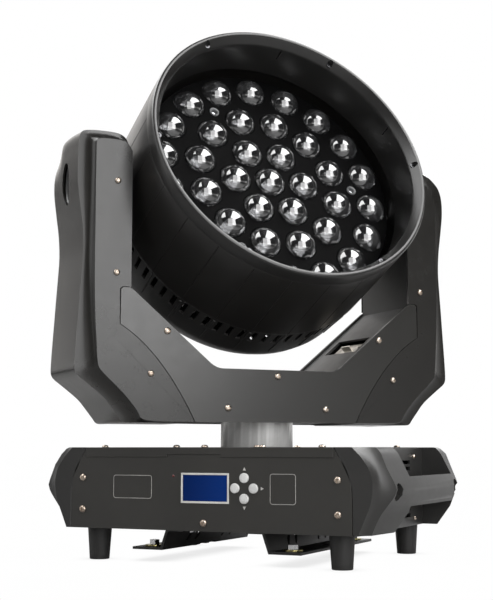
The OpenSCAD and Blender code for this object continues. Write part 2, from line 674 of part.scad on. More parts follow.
// ---------- head, in its own frame: X along the tilt axis, Z forward ----------
deck_z0 = -12; // rear and front faces of the round chassis plate
deck_z1 = -8;
ear_x = 168.4; // outer faces of the chassis ears
hood_z = 94; // joint between barrel and rim hood
lens_at = concat([[0, 0]],
  [for (k = [0:5]) polar(lens_r1, 60 * k)],
  [for (k = [0:11]) polar(lens_r2, 30 * k + 15)],
  [for (k = [0:17]) polar(lens_r3, 20 * k + 10)]);
rod_at = [for (k = [0:2]) polar(rod_pcr, 120 * k)];
rim_screw_at = [for (k = [0:5]) polar(170, 60 * k)];

// Round plate with an ear and two gussets at each end of the tilt axis
module head_chassis() color(metal(0.6)) head_pose() difference() {
  union() {
    disc(168, deck_z0, deck_z1 - deck_z0);
    both_sides() {
      box([ear_x - 3, -30, -11], [ear_x, 30, 30]);
      for (y = [-29, 25]) box([150, y, -9], [166, y + 4, 4]);
    }
    turned(6, 30) translate([171, 0, -16]) cylinder(r = 4.5, h = 6);
  }
  at_each(rod_at, -20) cylinder(r = 5, h = 30);
  both_sides() face_right([160, 0, 0]) cylinder(r = 7.4, h = 20);
}
module head_barrel() color(grey(0.12)) head_pose() difference() {
  rotate_extrude($fn = 96) polygon([[barrel_r + 0.3, seam_h + 0.2], [barrel_r - 0.3, hood_z],
    [barrel_r - 3.2, hood_z], [barrel_r - 2.8, seam_h + 0.2]]);
  both_sides() face_right([160, 0, 0]) cylinder(r = 20, h = 30);
}
// Section of the hood, [radius, z]
hood_profile = [[barrel_r - 0.3, hood_z + gap], [barrel_r - 0.6, rim_h - 2],
  [barrel_r - 2, rim_h], [173.4, rim_h], [166, 101], [168.4, 52], [170.2, 52],
  [169.2, hood_z + gap]];
module rim_hood() color(grey(0.13)) head_pose() difference() {
  rotate_extrude($fn = 96) polygon(hood_profile);
  at_each(rim_screw_at, 104) cylinder(r = 3.6, h = 20);
  turned(6, 22) box([160, -0.8, 84], [168.6, 0.8, 99]);
}
// Section of the rear cover, [radius, z]: outer skin, then inner skin
rear_profile = [[barrel_r, seam_h - gap], [barrel_r - 2.4, -50], [174.5, -78], [166, -98],
  [146, -118], [120, rear_h + 3], [100, rear_h], [0, rear_h],
  [0, rear_h + 3], [99, rear_h + 3], [118, rear_h + 6], [144, -115.4], [163.5, -96],
  [171.7, -77.4], [barrel_r - 5.2, -50], [barrel_r - 2.8, seam_h - gap]];
module rear_cover() color(grey(0.11)) head_pose() difference() {
  union() {
    rotate_extrude($fn = 96) polygon(rear_profile);
    // thin ribs round the outside
    turned(24, 5) box([barrel_r - 6, -0.8, -72], [barrel_r - 1.2, 0.8, -49]);
  }
  // vents: round the side, across the fan and on the rear bevel
  turned(72, 2.5) box([170, -3, -47], [185, 3, -24.5]);
  for (x = [-50:10:50]) {
    reach = sqrt(58 * 58 - x * x);
    box([x - 2.6, -reach, rear_h - 1], [x + 2.6, reach, rear_h + 4]);
  }
  turned(36) box([124, -2.2, rear_h - 2], [142, 2.2, -112]);
}
module tilt_hubs() color(metal(0.7)) head_pose() both_sides() rotate([0, 90, 0]) difference() {
  union() {
    disc(27, ear_x + gap, 3.4);
    disc(hub_r, ear_x + gap, 46);
  }
  disc(12, 160, 60);
}
module tilt_pulley() color(metal(0.7)) head_pose() face_right([-213.4, 0, 0]) difference() {
  union() {
    translate([0, 0, 1.6]) linear_extrude(8.9) polygon(wheel_outline(48));
    cylinder(r = 40.6, h = 1.62);
    disc(40.6, 10.4, 1.4);
  }
  disc(hub_r + gap, -1, 20);
  turned(6) translate([27, 0, -1]) cylinder(r = 5.5, h = 20);
}
// Round plate with straight fins, cut away round the zoom motors
module heat_sink() color(metal(0.72)) head_pose() difference() {
  union() {
    disc(150, -20, deck_z0 + 20 - gap);
    intersection() {
      disc(150, -72, 54);
      union() for (x = [-143:13:143]) box([x - 1.1, -150, -72], [x + 1.1, 150, -19]);
    }
  }
  at_each(rod_at, -80) cylinder(r = 26.4, h = 80);
}
// Board with a square emitter and its dome behind each lens
module led_board() color([0.9, 0.9, 0.88]) head_pose() difference() {
  union() {
    disc(148, deck_z1 + gap, 1.6);
    at_each(lens_at, -6.5) {
      translate([-3.5, -3.5, 0]) cube([7, 7, 2.4]);
      translate([0, 0, 2.3]) cylinder(r1 = 3, r2 = 2.2, h = 1.4, $fn = 24);
    }
  }
  at_each(rod_at, -20) cylinder(r = 5, h = 30);
}
// Square frame; four spokes carry the hub and the axle
module fan_frame() color(grey(0.1)) head_pose() difference() {
  union() {
    difference() {
      box([-60, -60, -99], [60, 60, -74]);
      disc(57.6, -105, 40);
    }
    disc(22, -78, 3.9);
    turned(4, 45) box([20, -2, -78], [59, 2, -75]);
    disc(2.4, -96, 19);
  }
  at_each(corners(52.5, 52.5), -105) cylinder(d = 4.4, h = 40);
}
module fan_rotor() color(grey(0.08)) head_pose() difference() {
  union() {
    disc(21, -97.5, 18.6);
    turned(7) intersection() {
      ring(20.6, 56.6, -97, -79.4);
      translate([38, 0, -88.4]) rotate([38, 0, 0]) cube([44, 24, 1.6], center = true);
    }
  }
  disc(2.45, -110, 40);
}
module zoom_motors() color([0.3, 0.3, 0.31]) head_pose() at_each(rod_at, deck_z0 - gap)
  difference() {
    union() {
      translate([-17.5, -17.5, -34]) cube([35, 35, 34]);
      disc(8, -38, 5);
    }
    disc(2.56, -50, 60);
  }
module head_screws() color(grey(0.25)) head_pose() at_each(rim_screw_at, 104 + gap)
  difference() {
    cylinder(r = 3.4, h = 1.6);
    translate([0, 0, 0.8]) cylinder(r = 1.6, h = 2, $fn = 6);
  }
module lens_plate() color(grey(0.05)) head_pose() {
  difference() {
    disc(163.5, plate_h - 3, 3);
    at_each(lens_at, plate_h - 5) cylinder(d = lens_d + 0.12, h = 10);
    at_each(rod_at, plate_h - 5) cylinder(r = 4.1, h = 10);
  }
  // zoom rods with their flanged bushes, fixed to the plate
  at_each(rod_at) {
    disc(2.5, -84, 84 + plate_h - 1);
    difference() {
      union() {
        disc(4.3, plate_h - 3.2, 3.2);
        disc(6.2, plate_h - 0.1, 1.7);
      }
      disc(2.4, plate_h - 10, 20);
    }
  }
}

// Lens section, [radius, z] from the plate front: flange behind the plate, dome in front
lens_r = lens_d / 2;
dome_h = 13;
dome_r = (lens_r * lens_r + dome_h * dome_h) / (2 * dome_h);
lens_profile = concat(
  [[0, -6], [lens_r + 1.6, -6], [lens_r + 1.6, -3 - gap], [lens_r, -3 - gap], [lens_r, 0.4]],
  [for (k = [1:8]) let (a = asin(lens_r / dome_r) * (1 - k / 8))
    [dome_r * sin(a), 0.4 + dome_h - dome_r + dome_r * cos(a)]]);
module lenses() color([0.8, 0.85, 0.9]) head_pose() at_each(lens_at, plate_h)
  rotate_extrude($fn = 64) polygon(lens_profile);

base_chassis();
base_top_cover();
front_panel();
rear_panel();
side_cover_left();
side_cover_right();
rubber_feet();
display_frame();
lcd_module();
button_up();
button_down();
button_left();
button_right();
control_board();
power_supply();
driver_board();
power_sockets();
signal_sockets();
fuse_holder();
pan_bearing_plate();
pan_bearing_outer();
pan_bearing_inner();
pan_tube();
pan_pulley();
pan_motor();
pan_motor_pulley();
pan_belt();
clamp_bracket_left();
clamp_bracket_right();
clamp_bolts();
clamp_washers();
safety_loop();
base_screws();
yoke_frame();
yoke_plate_front();
yoke_plate_rear();
arm_cover_left();
arm_cover_right();
arm_badges();
tilt_bearings();
tilt_motor();
tilt_motor_pulley();
tilt_belt();
tilt_lock_latch();
yoke_board();
yoke_screws();
head_chassis();
head_barrel();
rim_hood();
rear_cover();
tilt_hubs();
tilt_pulley();
heat_sink();
led_board();
fan_frame();
fan_rotor();
zoom_motors();
head_screws();
lens_plate();
lenses();
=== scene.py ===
"""Moving head light: the looks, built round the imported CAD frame.

The base stands on the floor with its display panel facing -Y and its right side at +X, Z up.
The yoke carries the head between two arms. Shapes are drawn in millimetres in local frames:
the yoke's X runs along the tilt axis, and the head's Z runs along its barrel to the lenses.
"""
import json
import math

import bmesh
import bpy
from mathutils import Matrix, Vector


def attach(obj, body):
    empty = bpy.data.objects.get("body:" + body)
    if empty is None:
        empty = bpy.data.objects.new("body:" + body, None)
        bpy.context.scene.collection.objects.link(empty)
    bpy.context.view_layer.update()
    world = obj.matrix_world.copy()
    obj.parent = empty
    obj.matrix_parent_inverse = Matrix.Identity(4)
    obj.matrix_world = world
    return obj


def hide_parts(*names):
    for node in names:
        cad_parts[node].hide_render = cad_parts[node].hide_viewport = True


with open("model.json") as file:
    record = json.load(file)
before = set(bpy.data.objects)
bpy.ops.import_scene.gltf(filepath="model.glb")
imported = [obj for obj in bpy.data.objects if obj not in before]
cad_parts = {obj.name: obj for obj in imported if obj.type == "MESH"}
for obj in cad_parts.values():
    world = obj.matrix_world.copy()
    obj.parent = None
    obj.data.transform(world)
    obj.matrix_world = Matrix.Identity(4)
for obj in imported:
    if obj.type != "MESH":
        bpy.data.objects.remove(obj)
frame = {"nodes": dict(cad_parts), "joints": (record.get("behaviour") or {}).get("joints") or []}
NODES, JOINTS = frame["nodes"], {j["name"]: j for j in frame["joints"]}
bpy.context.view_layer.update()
MM = 0.001


# ---------------------------------------------------------------- frames
def unit(v):
    return Vector(v).normalized()


def frame_of(x, z, origin):
    m = Matrix((x, z.cross(x), z)).transposed().to_4x4()
    m.translation = origin
    return m


TILT = JOINTS["tilt"]
TILT_AXIS = unit(TILT["axis"])
# A joint's place may be packed under either key.
HEAD_POS = Vector(TILT.get("pos_m", TILT.get("origin_m", (0, 0, 0))))
HEAD_FRAME = frame_of(TILT_AXIS, unit(JOINTS["zoom"]["axis"]), HEAD_POS)
FRAMES = {
    "base": Matrix.Identity(4),
    "yoke": frame_of(TILT_AXIS, Vector((0, 0, 1)), Vector((0, 0, 0))),
    "head": HEAD_FRAME,
    "lens_carrier": HEAD_FRAME,
}

# ---------------------------------------------------------------- shader graphs
MATS = {}


class Graph:
    """Small helper for building the shader graph of a material or world."""

    def __init__(self, owner, output="ShaderNodeOutputMaterial", coords="Object"):
        owner.use_nodes = True
        self.tree = owner.node_tree
        self.tree.nodes.clear()
        self.out = self.node(output)
        self.coords = self.node("ShaderNodeTexCoord").outputs[coords]

    def node(self, kind, sockets=(), **settings):
        """New node; sockets holds input values or links, in order or by name."""
        node = self.tree.nodes.new(kind)
        for key, value in settings.items():
            setattr(node, key, value)
        pairs = sockets.items() if isinstance(sockets, dict) else enumerate(sockets)
        for key, value in pairs:
            self.put(node.inputs[key], value)
        return node

    def link(self, source, target):
        self.tree.links.new(source, target)

    def put(self, socket, value):
        if isinstance(value, bpy.types.NodeSocket):
            self.link(value, socket)
        elif isinstance(value, tuple) and len(value) == 3 and socket.type == "RGBA":
            socket.default_value = (*value, 1)
        else:
            socket.default_value = value

    def surface(self, shader):
        self.link(shader.outputs[0], self.out.inputs["Surface"])

    def noise(self, scale, detail=3.0, rough=0.55, warp=0.0, coords=None):
        return self.node("ShaderNodeTexNoise", {
            "Vector": coords or self.coords, "Scale": scale, "Detail": detail,
            "Roughness": rough, "Distortion": warp}).outputs["Fac"]

    def voronoi(self, scale, feature="F1", **more):
        sockets = {"Vector": self.coords, "Scale": scale, **more}
        return self.node("ShaderNodeTexVoronoi", sockets, feature=feature).outputs["Distance"]

    def scaled(self, scale):
        sockets = {"Vector": self.coords, "Scale": scale}
        return self.node("ShaderNodeMapping", sockets).outputs["Vector"]

    def ramp(self, value, span, to=(0.0, 1.0), kind="SMOOTHSTEP"):
        """Remap value from span to the range to."""
        return self.node("ShaderNodeMapRange", {
            "Value": value, "From Min": span[0], "From Max": span[1],
            "To Min": to[0], "To Max": to[1]}, interpolation_type=kind).outputs["Result"]

    def math(self, op, a, b):
        return self.node("ShaderNodeMath", (a, b, 0.0), operation=op).outputs[0]

    def mix(self, factor, a, b):
        sockets = {"Factor": factor, "A": a, "B": b}
        return self.node("ShaderNodeMix", sockets, data_type="RGBA").outputs["Result"]

    def edge(self):
        """1 on convex or concave edges, 0 on flats."""
        bevel = self.node("ShaderNodeBevel", {"Radius": 0.0012}, samples=4)
        normal = self.node("ShaderNodeNewGeometry").outputs["Normal"]
        dot = self.node("ShaderNodeVectorMath", (bevel.outputs[0], normal),
                        operation="DOT_PRODUCT")
        return self.ramp(self.math("SUBTRACT", 1.0, dot.outputs["Value"]), span=(0.02, 0.25))

    def bump(self, height, distance, strength):
        sockets = {"Strength": strength, "Distance": distance, "Height": height}
        return self.node("ShaderNodeBump", sockets).outputs["Normal"]

    def bsdf(self, color, rough, normal=None, metal=0.0, spec=0.5, **more):
        """Principled surface; more holds further inputs, with _ for each space."""
        shader = self.node("ShaderNodeBsdfPrincipled", {
            "Base Color": color, "Roughness": rough, "Metallic": metal,
            "Specular IOR Level": spec,
            **{key.replace("_", " "): value for key, value in more.items()}})
        if normal is not None:
            self.link(normal, shader.inputs["Normal"])
        self.surface(shader)
        return shader


def material(name):
    MATS[name] = bpy.data.materials.new(name)
    return Graph(MATS[name])


def tinted(color, factor, lift=0):
    return tuple(min(1, c * factor + lift) for c in color)


# ---------------------------------------------------------------- materials
def coat(name, dark, light, rough, grain, depth, cloud,
         spec=0.5, wear=0.35, wear_color=None, specks=0.0, rough_range=0.04):
    """Powder coat or moulding: pebbled grain, tone clouds, rubbed edges and dust specks."""
    g = material(name)
    clouds = g.noise(scale=cloud, detail=4, rough=0.6, warp=0.4)
    mid = g.noise(scale=cloud * 14, detail=3, rough=0.5)
    color = g.mix(g.ramp(clouds, span=(0.35, 0.68)), dark, light)
    color = g.mix(g.ramp(mid, span=(0.5, 0.8), to=(0, 0.15)), color, tinted(light, 1.3))
    scratches = g.ramp(g.noise(scale=260, detail=5, rough=0.7), span=(0.3, 0.7))
    worn = g.math("MULTIPLY", g.math("MULTIPLY", g.edge(), scratches), wear)
    color = g.mix(worn, color, wear_color or tinted(light, 3, lift=0.05))
    half = rough_range * 0.5
    rough_map = g.math("ADD", g.ramp(mid, span=(0.2, 0.8), to=(rough - half, rough + half)),
                       g.math("MULTIPLY", worn, -0.06))
    if specks:
        dots = g.ramp(g.voronoi(scale=55), span=(0.05, 0.02))
        dust = g.math("MULTIPLY", dots, g.ramp(g.noise(scale=12, detail=2), span=(0.52, 0.6)))
        color = g.mix(g.math("MULTIPLY", dust, specks), color, (0.35, 0.34, 0.32))
    pebbles = g.voronoi(scale=grain, feature="SMOOTH_F1", Smoothness=0.6)
    fine = g.noise(scale=grain * 0.8, detail=2)
    height = g.math("ADD", g.math("MULTIPLY", pebbles, 0.7), g.math("MULTIPLY", fine, 0.6))
    g.bsdf(color, rough_map, g.bump(height, distance=depth, strength=0.4), spec=spec)


def metal(name, color, rough, brushed=None, rough_var=0.06, tint=None, spots=0.0,
          metallic=1.0, relief=0.4):
    """Bare or plated metal: brushing scaled per axis, tone clouds and fine scratches."""
    g = material(name)
    grain = g.noise(scale=1.0 if brushed else 420, detail=6, rough=0.65,
                    coords=g.scaled(brushed) if brushed else None)
    clouds = g.noise(scale=22, detail=4, rough=0.6, warp=0.6)
    tone = g.mix(g.ramp(clouds, span=(0.3, 0.7)), color, tint or tinted(color, 0.78))
    tone = g.mix(g.ramp(grain, span=(0.35, 0.7), to=(0, 0.35)), tone, tinted(color, 0.7))
    if spots:
        dots = g.ramp(g.voronoi(scale=160), span=(0.12, 0.03))
        tone = g.mix(g.math("MULTIPLY", dots, spots), tone, tinted(color, 0.3))
    rough_map = g.math(
        "ADD", g.ramp(grain, span=(0.3, 0.7), to=(rough - rough_var, rough + rough_var)),
        g.ramp(clouds, span=(0.3, 0.7), to=(-0.04, 0.06)))
    g.bsdf(tone, rough_map, g.bump(grain, distance=3e-5, strength=relief), metallic)


def board(name, dark, light):
    """Circuit board with a brick pattern of tracks."""
    g = material(name)
    sockets = {"Vector": g.coords, "Scale": 160}
    tracks = g.node("ShaderNodeTexBrick", sockets).outputs["Fac"]
    color = g.mix(g.ramp(g.noise(scale=300, detail=2), span=(0.45, 0.6)), dark, light)
    color = g.mix(g.math("MULTIPLY", tracks, 0.5), color, tinted(light, 1.8))
    rough = g.ramp(g.noise(scale=90), span=(0.3, 0.7), to=(0.3, 0.45))
    g.bsdf(color, rough, g.bump(tracks, distance=5e-5, strength=0.5))


def lcd():
    """Dim blue display, brighter towards +X, with fine cells."""
    g = material("m_lcd")
    cells = g.node("ShaderNodeTexChecker", {"Vector": g.scaled((2600, 2600, 2600)), "Scale": 1.0})
    across = g.node("ShaderNodeSeparateXYZ", (g.coords,)).outputs[0]
    color = g.mix(g.ramp(across, span=(-0.027, 0.029)),
                  (0.0010, 0.0085, 0.052), (0.0022, 0.0155, 0.088))
    color = g.mix(g.math("MULTIPLY", cells.outputs["Fac"], 0.10), color, (0.003, 0.02, 0.15))
    rough = g.ramp(g.noise(scale=120), span=(0.3, 0.7), to=(0.12, 0.2))
    g.bsdf(color, rough, spec=0.06, Coat_Weight=0.06, Coat_Roughness=0.04,
           Emission_Color=color, Emission_Strength=0.75)


def lens_glass():
    g = material("m_lens")
    normal = g.bump(g.noise(scale=30, detail=1), distance=1e-5, strength=0.02)
    rough = g.ramp(g.noise(scale=300, detail=3), span=(0.5, 0.8), to=(0.0, 0.02))
    # The dark tint on the clear dome is painted shade for the unlit inside of the head seen
    # through it.
    g.bsdf((0.08, 0.081, 0.084), rough, normal, Transmission_Weight=0.8, IOR=1.49,
           Coat_Weight=1.0, Coat_IOR=2.1, Coat_Roughness=0.0)


def led_red():
    g = material("m_led_red")
    color = g.mix(g.ramp(g.noise(scale=500, detail=2), span=(0.3, 0.7)),
                  (0.06, 0.006, 0.006), (0.12, 0.012, 0.010))
    rough = g.ramp(g.noise(scale=800), span=(0.3, 0.7), to=(0.15, 0.25))
    g.bsdf(color, rough, Coat_Weight=0.6)


# name: dark tone, light tone, roughness, grain scale, grain depth (m), cloud scale, the rest
COATS = {
    "m_panel": ((0.025, 0.024, 0.0215), (0.031, 0.0295, 0.0265), 0.42, 1700, 5e-5, 7, {}),
    "m_base_sheet": ((0.024, 0.023, 0.022), (0.033, 0.032, 0.030), 0.5, 1700, 5e-5, 9, {}),
    "m_moulded": ((0.022, 0.0215, 0.0208), (0.028, 0.0272, 0.026), 0.36, 1100, 7e-5, 6,
                  dict(wear=0.25)),
    "m_arm": ((0.0145, 0.0137, 0.0124), (0.0170, 0.0160, 0.0145), 0.25, 1500, 2e-5, 5,
              dict(wear=0.22)),
    "m_yoke_plate": ((0.0165, 0.0158, 0.0143), (0.0192, 0.0184, 0.0167), 0.24, 1900, 2e-5, 5,
                     dict(spec=0.62, wear=0.5, wear_color=(0.30, 0.29, 0.27))),
    "m_yoke_sheet": ((0.026, 0.026, 0.025), (0.036, 0.035, 0.034), 0.44, 1900, 5e-5, 7,
                     dict(wear=0.4)),
    "m_barrel": ((0.012, 0.0113, 0.0107), (0.0165, 0.0155, 0.0145), 0.33, 1500, 3e-5, 5,
                 dict(wear=0.3, specks=0.7)),
    "m_hood": ((0.016, 0.0156, 0.0152), (0.019, 0.0185, 0.018), 0.3, 1500, 2e-5, 6,
               dict(wear=0.08, specks=0.4)),
    "m_vent": ((0.0105, 0.010, 0.0095), (0.0165, 0.0155, 0.0145), 0.42, 1300, 6e-5, 7,
               dict(wear=0.3)),
    "m_rubber": ((0.020, 0.020, 0.0195), (0.031, 0.030, 0.029), 0.55, 900, 9e-5, 14,
                 dict(wear=0.1, spec=0.4)),
    "m_bracket": ((0.012, 0.0115, 0.0112), (0.020, 0.019, 0.018), 0.38, 1400, 6e-5, 12,
                  dict(wear=0.55)),
    "m_plastic": ((0.014, 0.014, 0.014), (0.024, 0.024, 0.024), 0.38, 1000, 5e-5, 14,
                  dict(wear=0.15)),
    "m_lensplate": ((0.0025, 0.0025, 0.0026), (0.004, 0.004, 0.0041), 0.55, 2200, 2e-5, 8,
                    dict(spec=0.02, wear=0.1, specks=0.5, rough_range=0.05)),
    "m_cup": ((0.005, 0.005, 0.0055), (0.009, 0.009, 0.010), 0.3, 1800, 2e-5, 20, dict(wear=0.0)),
    "m_belt": ((0.012, 0.012, 0.012), (0.022, 0.022, 0.021), 0.7, 700, 1e-4, 30,
               dict(spec=0.3, wear=0.0)),
    "m_motor": ((0.018, 0.018, 0.019), (0.030, 0.030, 0.031), 0.34, 1500, 3e-5, 20,
                dict(wear=0.4)),
    "m_badge": ((0.050, 0.050, 0.050), (0.075, 0.074, 0.072), 0.30, 2200, 3e-5, 20,
                dict(wear=0.6)),
    "m_white_frame": ((0.66, 0.65, 0.62), (0.78, 0.77, 0.74), 0.38, 1500, 2e-5, 40,
                      dict(wear=0.0)),
    "m_socket_blue": ((0.03, 0.09, 0.35), (0.04, 0.12, 0.45), 0.35, 1200, 4e-5, 30,
                      dict(wear=0.1)),
    "m_ink": ((0.44, 0.43, 0.41), (0.56, 0.55, 0.52), 0.5, 2500, 1e-5, 60, dict(wear=0.0)),
    "m_button": ((0.66, 0.66, 0.65), (0.78, 0.78, 0.77), 0.24, 1400, 2e-5, 60, dict(wear=0.0)),
    "m_bush": ((0.10, 0.103, 0.108), (0.15, 0.152, 0.155), 0.3, 1500, 3e-5, 40, dict(wear=0.2)),
}
# name: colour, roughness, the rest
METALS = {
    # The tube is mostly diffuse off-white, not mirror metal, so its brightness is painted
    # reflection.
    "m_tube": ((0.86, 0.855, 0.845), 0.15,
               dict(brushed=(900, 900, 30), rough_var=0.02, metallic=0.35, relief=0.03)),
    "m_alu": ((0.70, 0.70, 0.71), 0.32, dict(brushed=(90, 90, 900), rough_var=0.08)),
    "m_bare": ((0.56, 0.57, 0.59), 0.34, dict(rough_var=0.08, spots=0.2)),
    "m_bearing": ((0.62, 0.63, 0.65), 0.22, dict(rough_var=0.05)),
    "m_screw": ((0.62, 0.54, 0.46), 0.26, dict(tint=(0.46, 0.37, 0.30))),
    "m_screw_dark": ((0.10, 0.10, 0.105), 0.3, {}),
    "m_bolt": ((0.72, 0.72, 0.73), 0.2, {}),
    "m_zinc": ((0.85, 0.70, 0.30), 0.26, dict(tint=(0.75, 0.74, 0.36))),
    "m_latch": ((0.60, 0.57, 0.52), 0.36, dict(tint=(0.5, 0.46, 0.41))),
    "m_signal": ((0.42, 0.42, 0.43), 0.28, {}),
}
for make, rows in ((coat, COATS), (metal, METALS)):
    for name, (*values, more) in rows.items():
        make(name, *values, **more)
board("m_board_green", dark=(0.012, 0.09, 0.035), light=(0.02, 0.14, 0.06))
board("m_board_blue", dark=(0.012, 0.04, 0.12), light=(0.02, 0.06, 0.18))
# The LED board is near black: painted shade for the unlit inside of the head seen through the
# lenses.
board("m_board_painted_shade", dark=(0.012, 0.012, 0.013), light=(0.02, 0.02, 0.021))
lcd()
lens_glass()
led_red()


# ---------------------------------------------------------------- objects
def add_object(name, data):
    ob = bpy.data.objects.new(name, data)
    bpy.context.scene.collection.objects.link(ob)
    return ob


def mesh_object(name, bm):
    """New object from a bmesh, which is freed."""
    me = bpy.data.meshes.new(name)
    bm.to_mesh(me)
    bm.free()
    return add_object(name, me)


def add_bevel(ob, width, segments, limit):
    bevel = ob.modifiers.new("edge", "BEVEL")
    bevel.width = width * MM
    bevel.segments = segments
    bevel.limit_method = "ANGLE"
    bevel.angle_limit = math.radians(limit)
    bevel.harden_normals = True
    bevel.use_clamp_overlap = True


def piece(name, bm, mat, body, stands_for=None, bevel=0.0, segments=2, limit=30, sharp=32):
    """Finish a mesh given in millimetres in its body's frame.

    Edges over limit degrees are bevelled, and edges over sharp degrees are shaded sharp.
    """
    bmesh.ops.recalc_face_normals(bm, faces=bm.faces)
    bmesh.ops.scale(bm, vec=(MM, MM, MM), verts=bm.verts)
    bmesh.ops.transform(bm, matrix=FRAMES[body], verts=bm.verts)
    ob = mesh_object(name, bm)
    ob.data.materials.append(MATS[mat])
    for p in ob.data.polygons:
        p.use_smooth = True
    ob.data.set_sharp_from_angle(angle=math.radians(sharp))
    if bevel:
        add_bevel(ob, bevel, segments, limit)
    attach(ob, body)
    if stands_for:
        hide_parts(stands_for)


def dress(node, mat, bevel):
    """Keep a CAD node's shape: weld and clean it, round its edges and give it a finish."""
    ob = NODES[node]
    ob.data.materials.clear()
    ob.data.materials.append(MATS[mat])
    if bevel:
        ob.modifiers.new("weld", "WELD").merge_threshold = 0.00002
        planar = ob.modifiers.new("planar", "DECIMATE")
        planar.decimate_type = "DISSOLVE"
        planar.angle_limit = math.radians(0.6)
        add_bevel(ob, bevel, segments=2, limit=28)


# material, edge bevel in mm, CAD nodes
KEPT_NODES = (
    ("m_base_sheet", 0.4, "base_chassis"),
    ("m_panel", 0.5, "base_top_cover"),
    ("m_panel", 0.4, "front_panel rear_panel"),
    ("m_rubber", 0.6, "rubber_feet"),
    ("m_white_frame", 0.25, "display_frame"),
    ("m_lcd", 0.2, "lcd_module"),
    ("m_button", 0, "button_up button_down button_left button_right"),
    ("m_board_green", 0.2, "control_board yoke_board"),
    ("m_board_blue", 0.2, "driver_board"),
    # The LED board's near-black finish is painted shade, not its own colour.
    ("m_board_painted_shade", 0, "led_board"),
    ("m_bare", 0.3, "pan_bearing_plate"),
    ("m_bare", 0.4, "power_supply"),
    ("m_bare", 0.5, "safety_loop"),
    ("m_socket_blue", 0.4, "power_sockets"),
    ("m_signal", 0.4, "signal_sockets"),
    ("m_plastic", 0.3, "fuse_holder fan_rotor"),
    ("m_plastic", 0.4, "fan_frame"),
    ("m_bearing", 0.3, "pan_bearing_outer pan_bearing_inner tilt_bearings"),
    # The pan tube's bright diffuse finish is painted reflection.
    ("m_tube", 0.4, "pan_tube"),
    ("m_alu", 0, "pan_pulley pan_motor_pulley tilt_motor_pulley tilt_pulley heat_sink"),
    ("m_alu", 0.3, "head_chassis tilt_hubs"),
    ("m_motor", 0.4, "pan_motor tilt_motor zoom_motors"),
    ("m_belt", 0, "pan_belt tilt_belt"),
    ("m_bracket", 0.4, "clamp_bracket_left clamp_bracket_right"),
    ("m_bolt", 0.4, "clamp_bolts"),
    ("m_zinc", 0.3, "clamp_washers"),
    ("m_screw", 0.15, "base_screws yoke_screws"),
    ("m_screw_dark", 0.1, "head_screws"),
    ("m_yoke_sheet", 0.4, "yoke_frame"),
    ("m_yoke_plate", 0.4, "yoke_plate_front yoke_plate_rear"),
    ("m_latch", 0.4, "tilt_lock_latch"),
)
for mat, bevel, nodes in KEPT_NODES:
    for node in nodes.split():
        dress(node, mat, bevel)


# ---------------------------------------------------------------- outlines
def clamp(t):
    return min(1.0, max(0.0, t))


def lerp(a, b, t):
    return tuple(x + (y - x) * t for x, y in zip(a, b))


def lookup(rows, z):
    """Piecewise linear value at z in ascending rows of (z, value) that span it."""
    for (z0, v0), (z1, v1) in zip(rows, rows[1:]):
        if z <= z1:
            return v0 + (v1 - v0) * (z - z0) / (z1 - z0)


def spline(pts, steps):
    """Catmull-Rom through pts, ends included."""
    out = []
    for i in range(len(pts) - 1):
        spans = list(zip(pts[max(i - 1, 0)], pts[i], pts[i + 1], pts[min(i + 2, len(pts) - 1)]))
        for k in range(steps):
            t = k / steps
            out.append(tuple(
                0.5 * (2 * b + (c - a) * t + (2 * a - 5 * b + 4 * c - d) * t * t
                       + (3 * b - a - 3 * c + d) * t**3) for a, b, c, d in spans))
    out.append(tuple(pts[-1]))
    return out


def bezier(a, b, c, steps):
    """Quadratic curve from a to c, pulled towards b."""
    return [tuple((1 - t) ** 2 * p + 2 * t * (1 - t) * q + t * t * r for p, q, r in zip(a, b, c))
            for t in (i / steps for i in range(steps + 1))]


def oval(cu, cv, ru, rv, n):
    """Oval of n points about (cu, cv), with radii ru and rv."""
    angles = [math.tau * k / n for k in range(n)]
    return [(cu + ru * math.cos(a), cv + rv * math.sin(a)) for a in angles]


def spread(count, radius, start=0):
    """Points evenly spaced on a circle, the first at start degrees."""
    angles = [math.radians(360 / count * k + start) for k in range(count)]
    return [(radius * math.cos(a), radius * math.sin(a)) for a in angles]


def rectangle(u0, u1, v0, v1):
    return [(u0, v0), (u1, v0), (u1, v1), (u0, v1)]


# ---------------------------------------------------------------- mesh builders
def ring(bm, radii, height, angles):
    return [bm.verts.new((r * math.cos(a), r * math.sin(a), height))
            for r, a in zip(radii, angles)]


def bridge(bm, first, second, skip=()):
    """Faces between two closed rings, the second of which may be one point."""
    n = len(first)
    for k in range(n):
        j = (k + 1) % n
        if len(second) == 1:
            bm.faces.new((first[k], first[j], second[0]))
        elif k not in skip:
            bm.faces.new((first[k], first[j], second[j], second[k]))


def lathe(bm, profile, angles, shifts=()):
    """Revolve (radius, height) rows round local Z; returns the new vertices.

    Rows with a third value have the radius of each column moved by shifts. The profile
    closes on itself unless it starts on the axis.
    """
    n = len(angles)
    rings = []
    for radius, height, *shifted in profile:
        if radius < 1e-6:
            rings.append([bm.verts.new((0, 0, height))])
            continue
        radii = [radius + s for s in shifts] if shifted else [radius] * n
        rings.append(ring(bm, radii, height, angles))
    closing = rings[:1] if profile[0][0] > 0 else []
    for A, B in zip(rings, rings[1:] + closing):
        for k in range(n):
            j = (k + 1) % n
            if len(A) == 1:
                bm.faces.new((A[0], B[k], B[j]))
            elif len(B) == 1:
                bm.faces.new((A[k], B[0], A[j]))
            else:
                bm.faces.new((A[k], B[k], B[j], A[j]))
    return [v for row in rings for v in row]


def turned(bm, profile, n, x=0, y=0):
    """A round part of n columns about a local Z line through (x, y)."""
    verts = lathe(bm, profile, [math.tau * k / n for k in range(n)])
    bmesh.ops.translate(bm, vec=(x, y, 0), verts=verts)


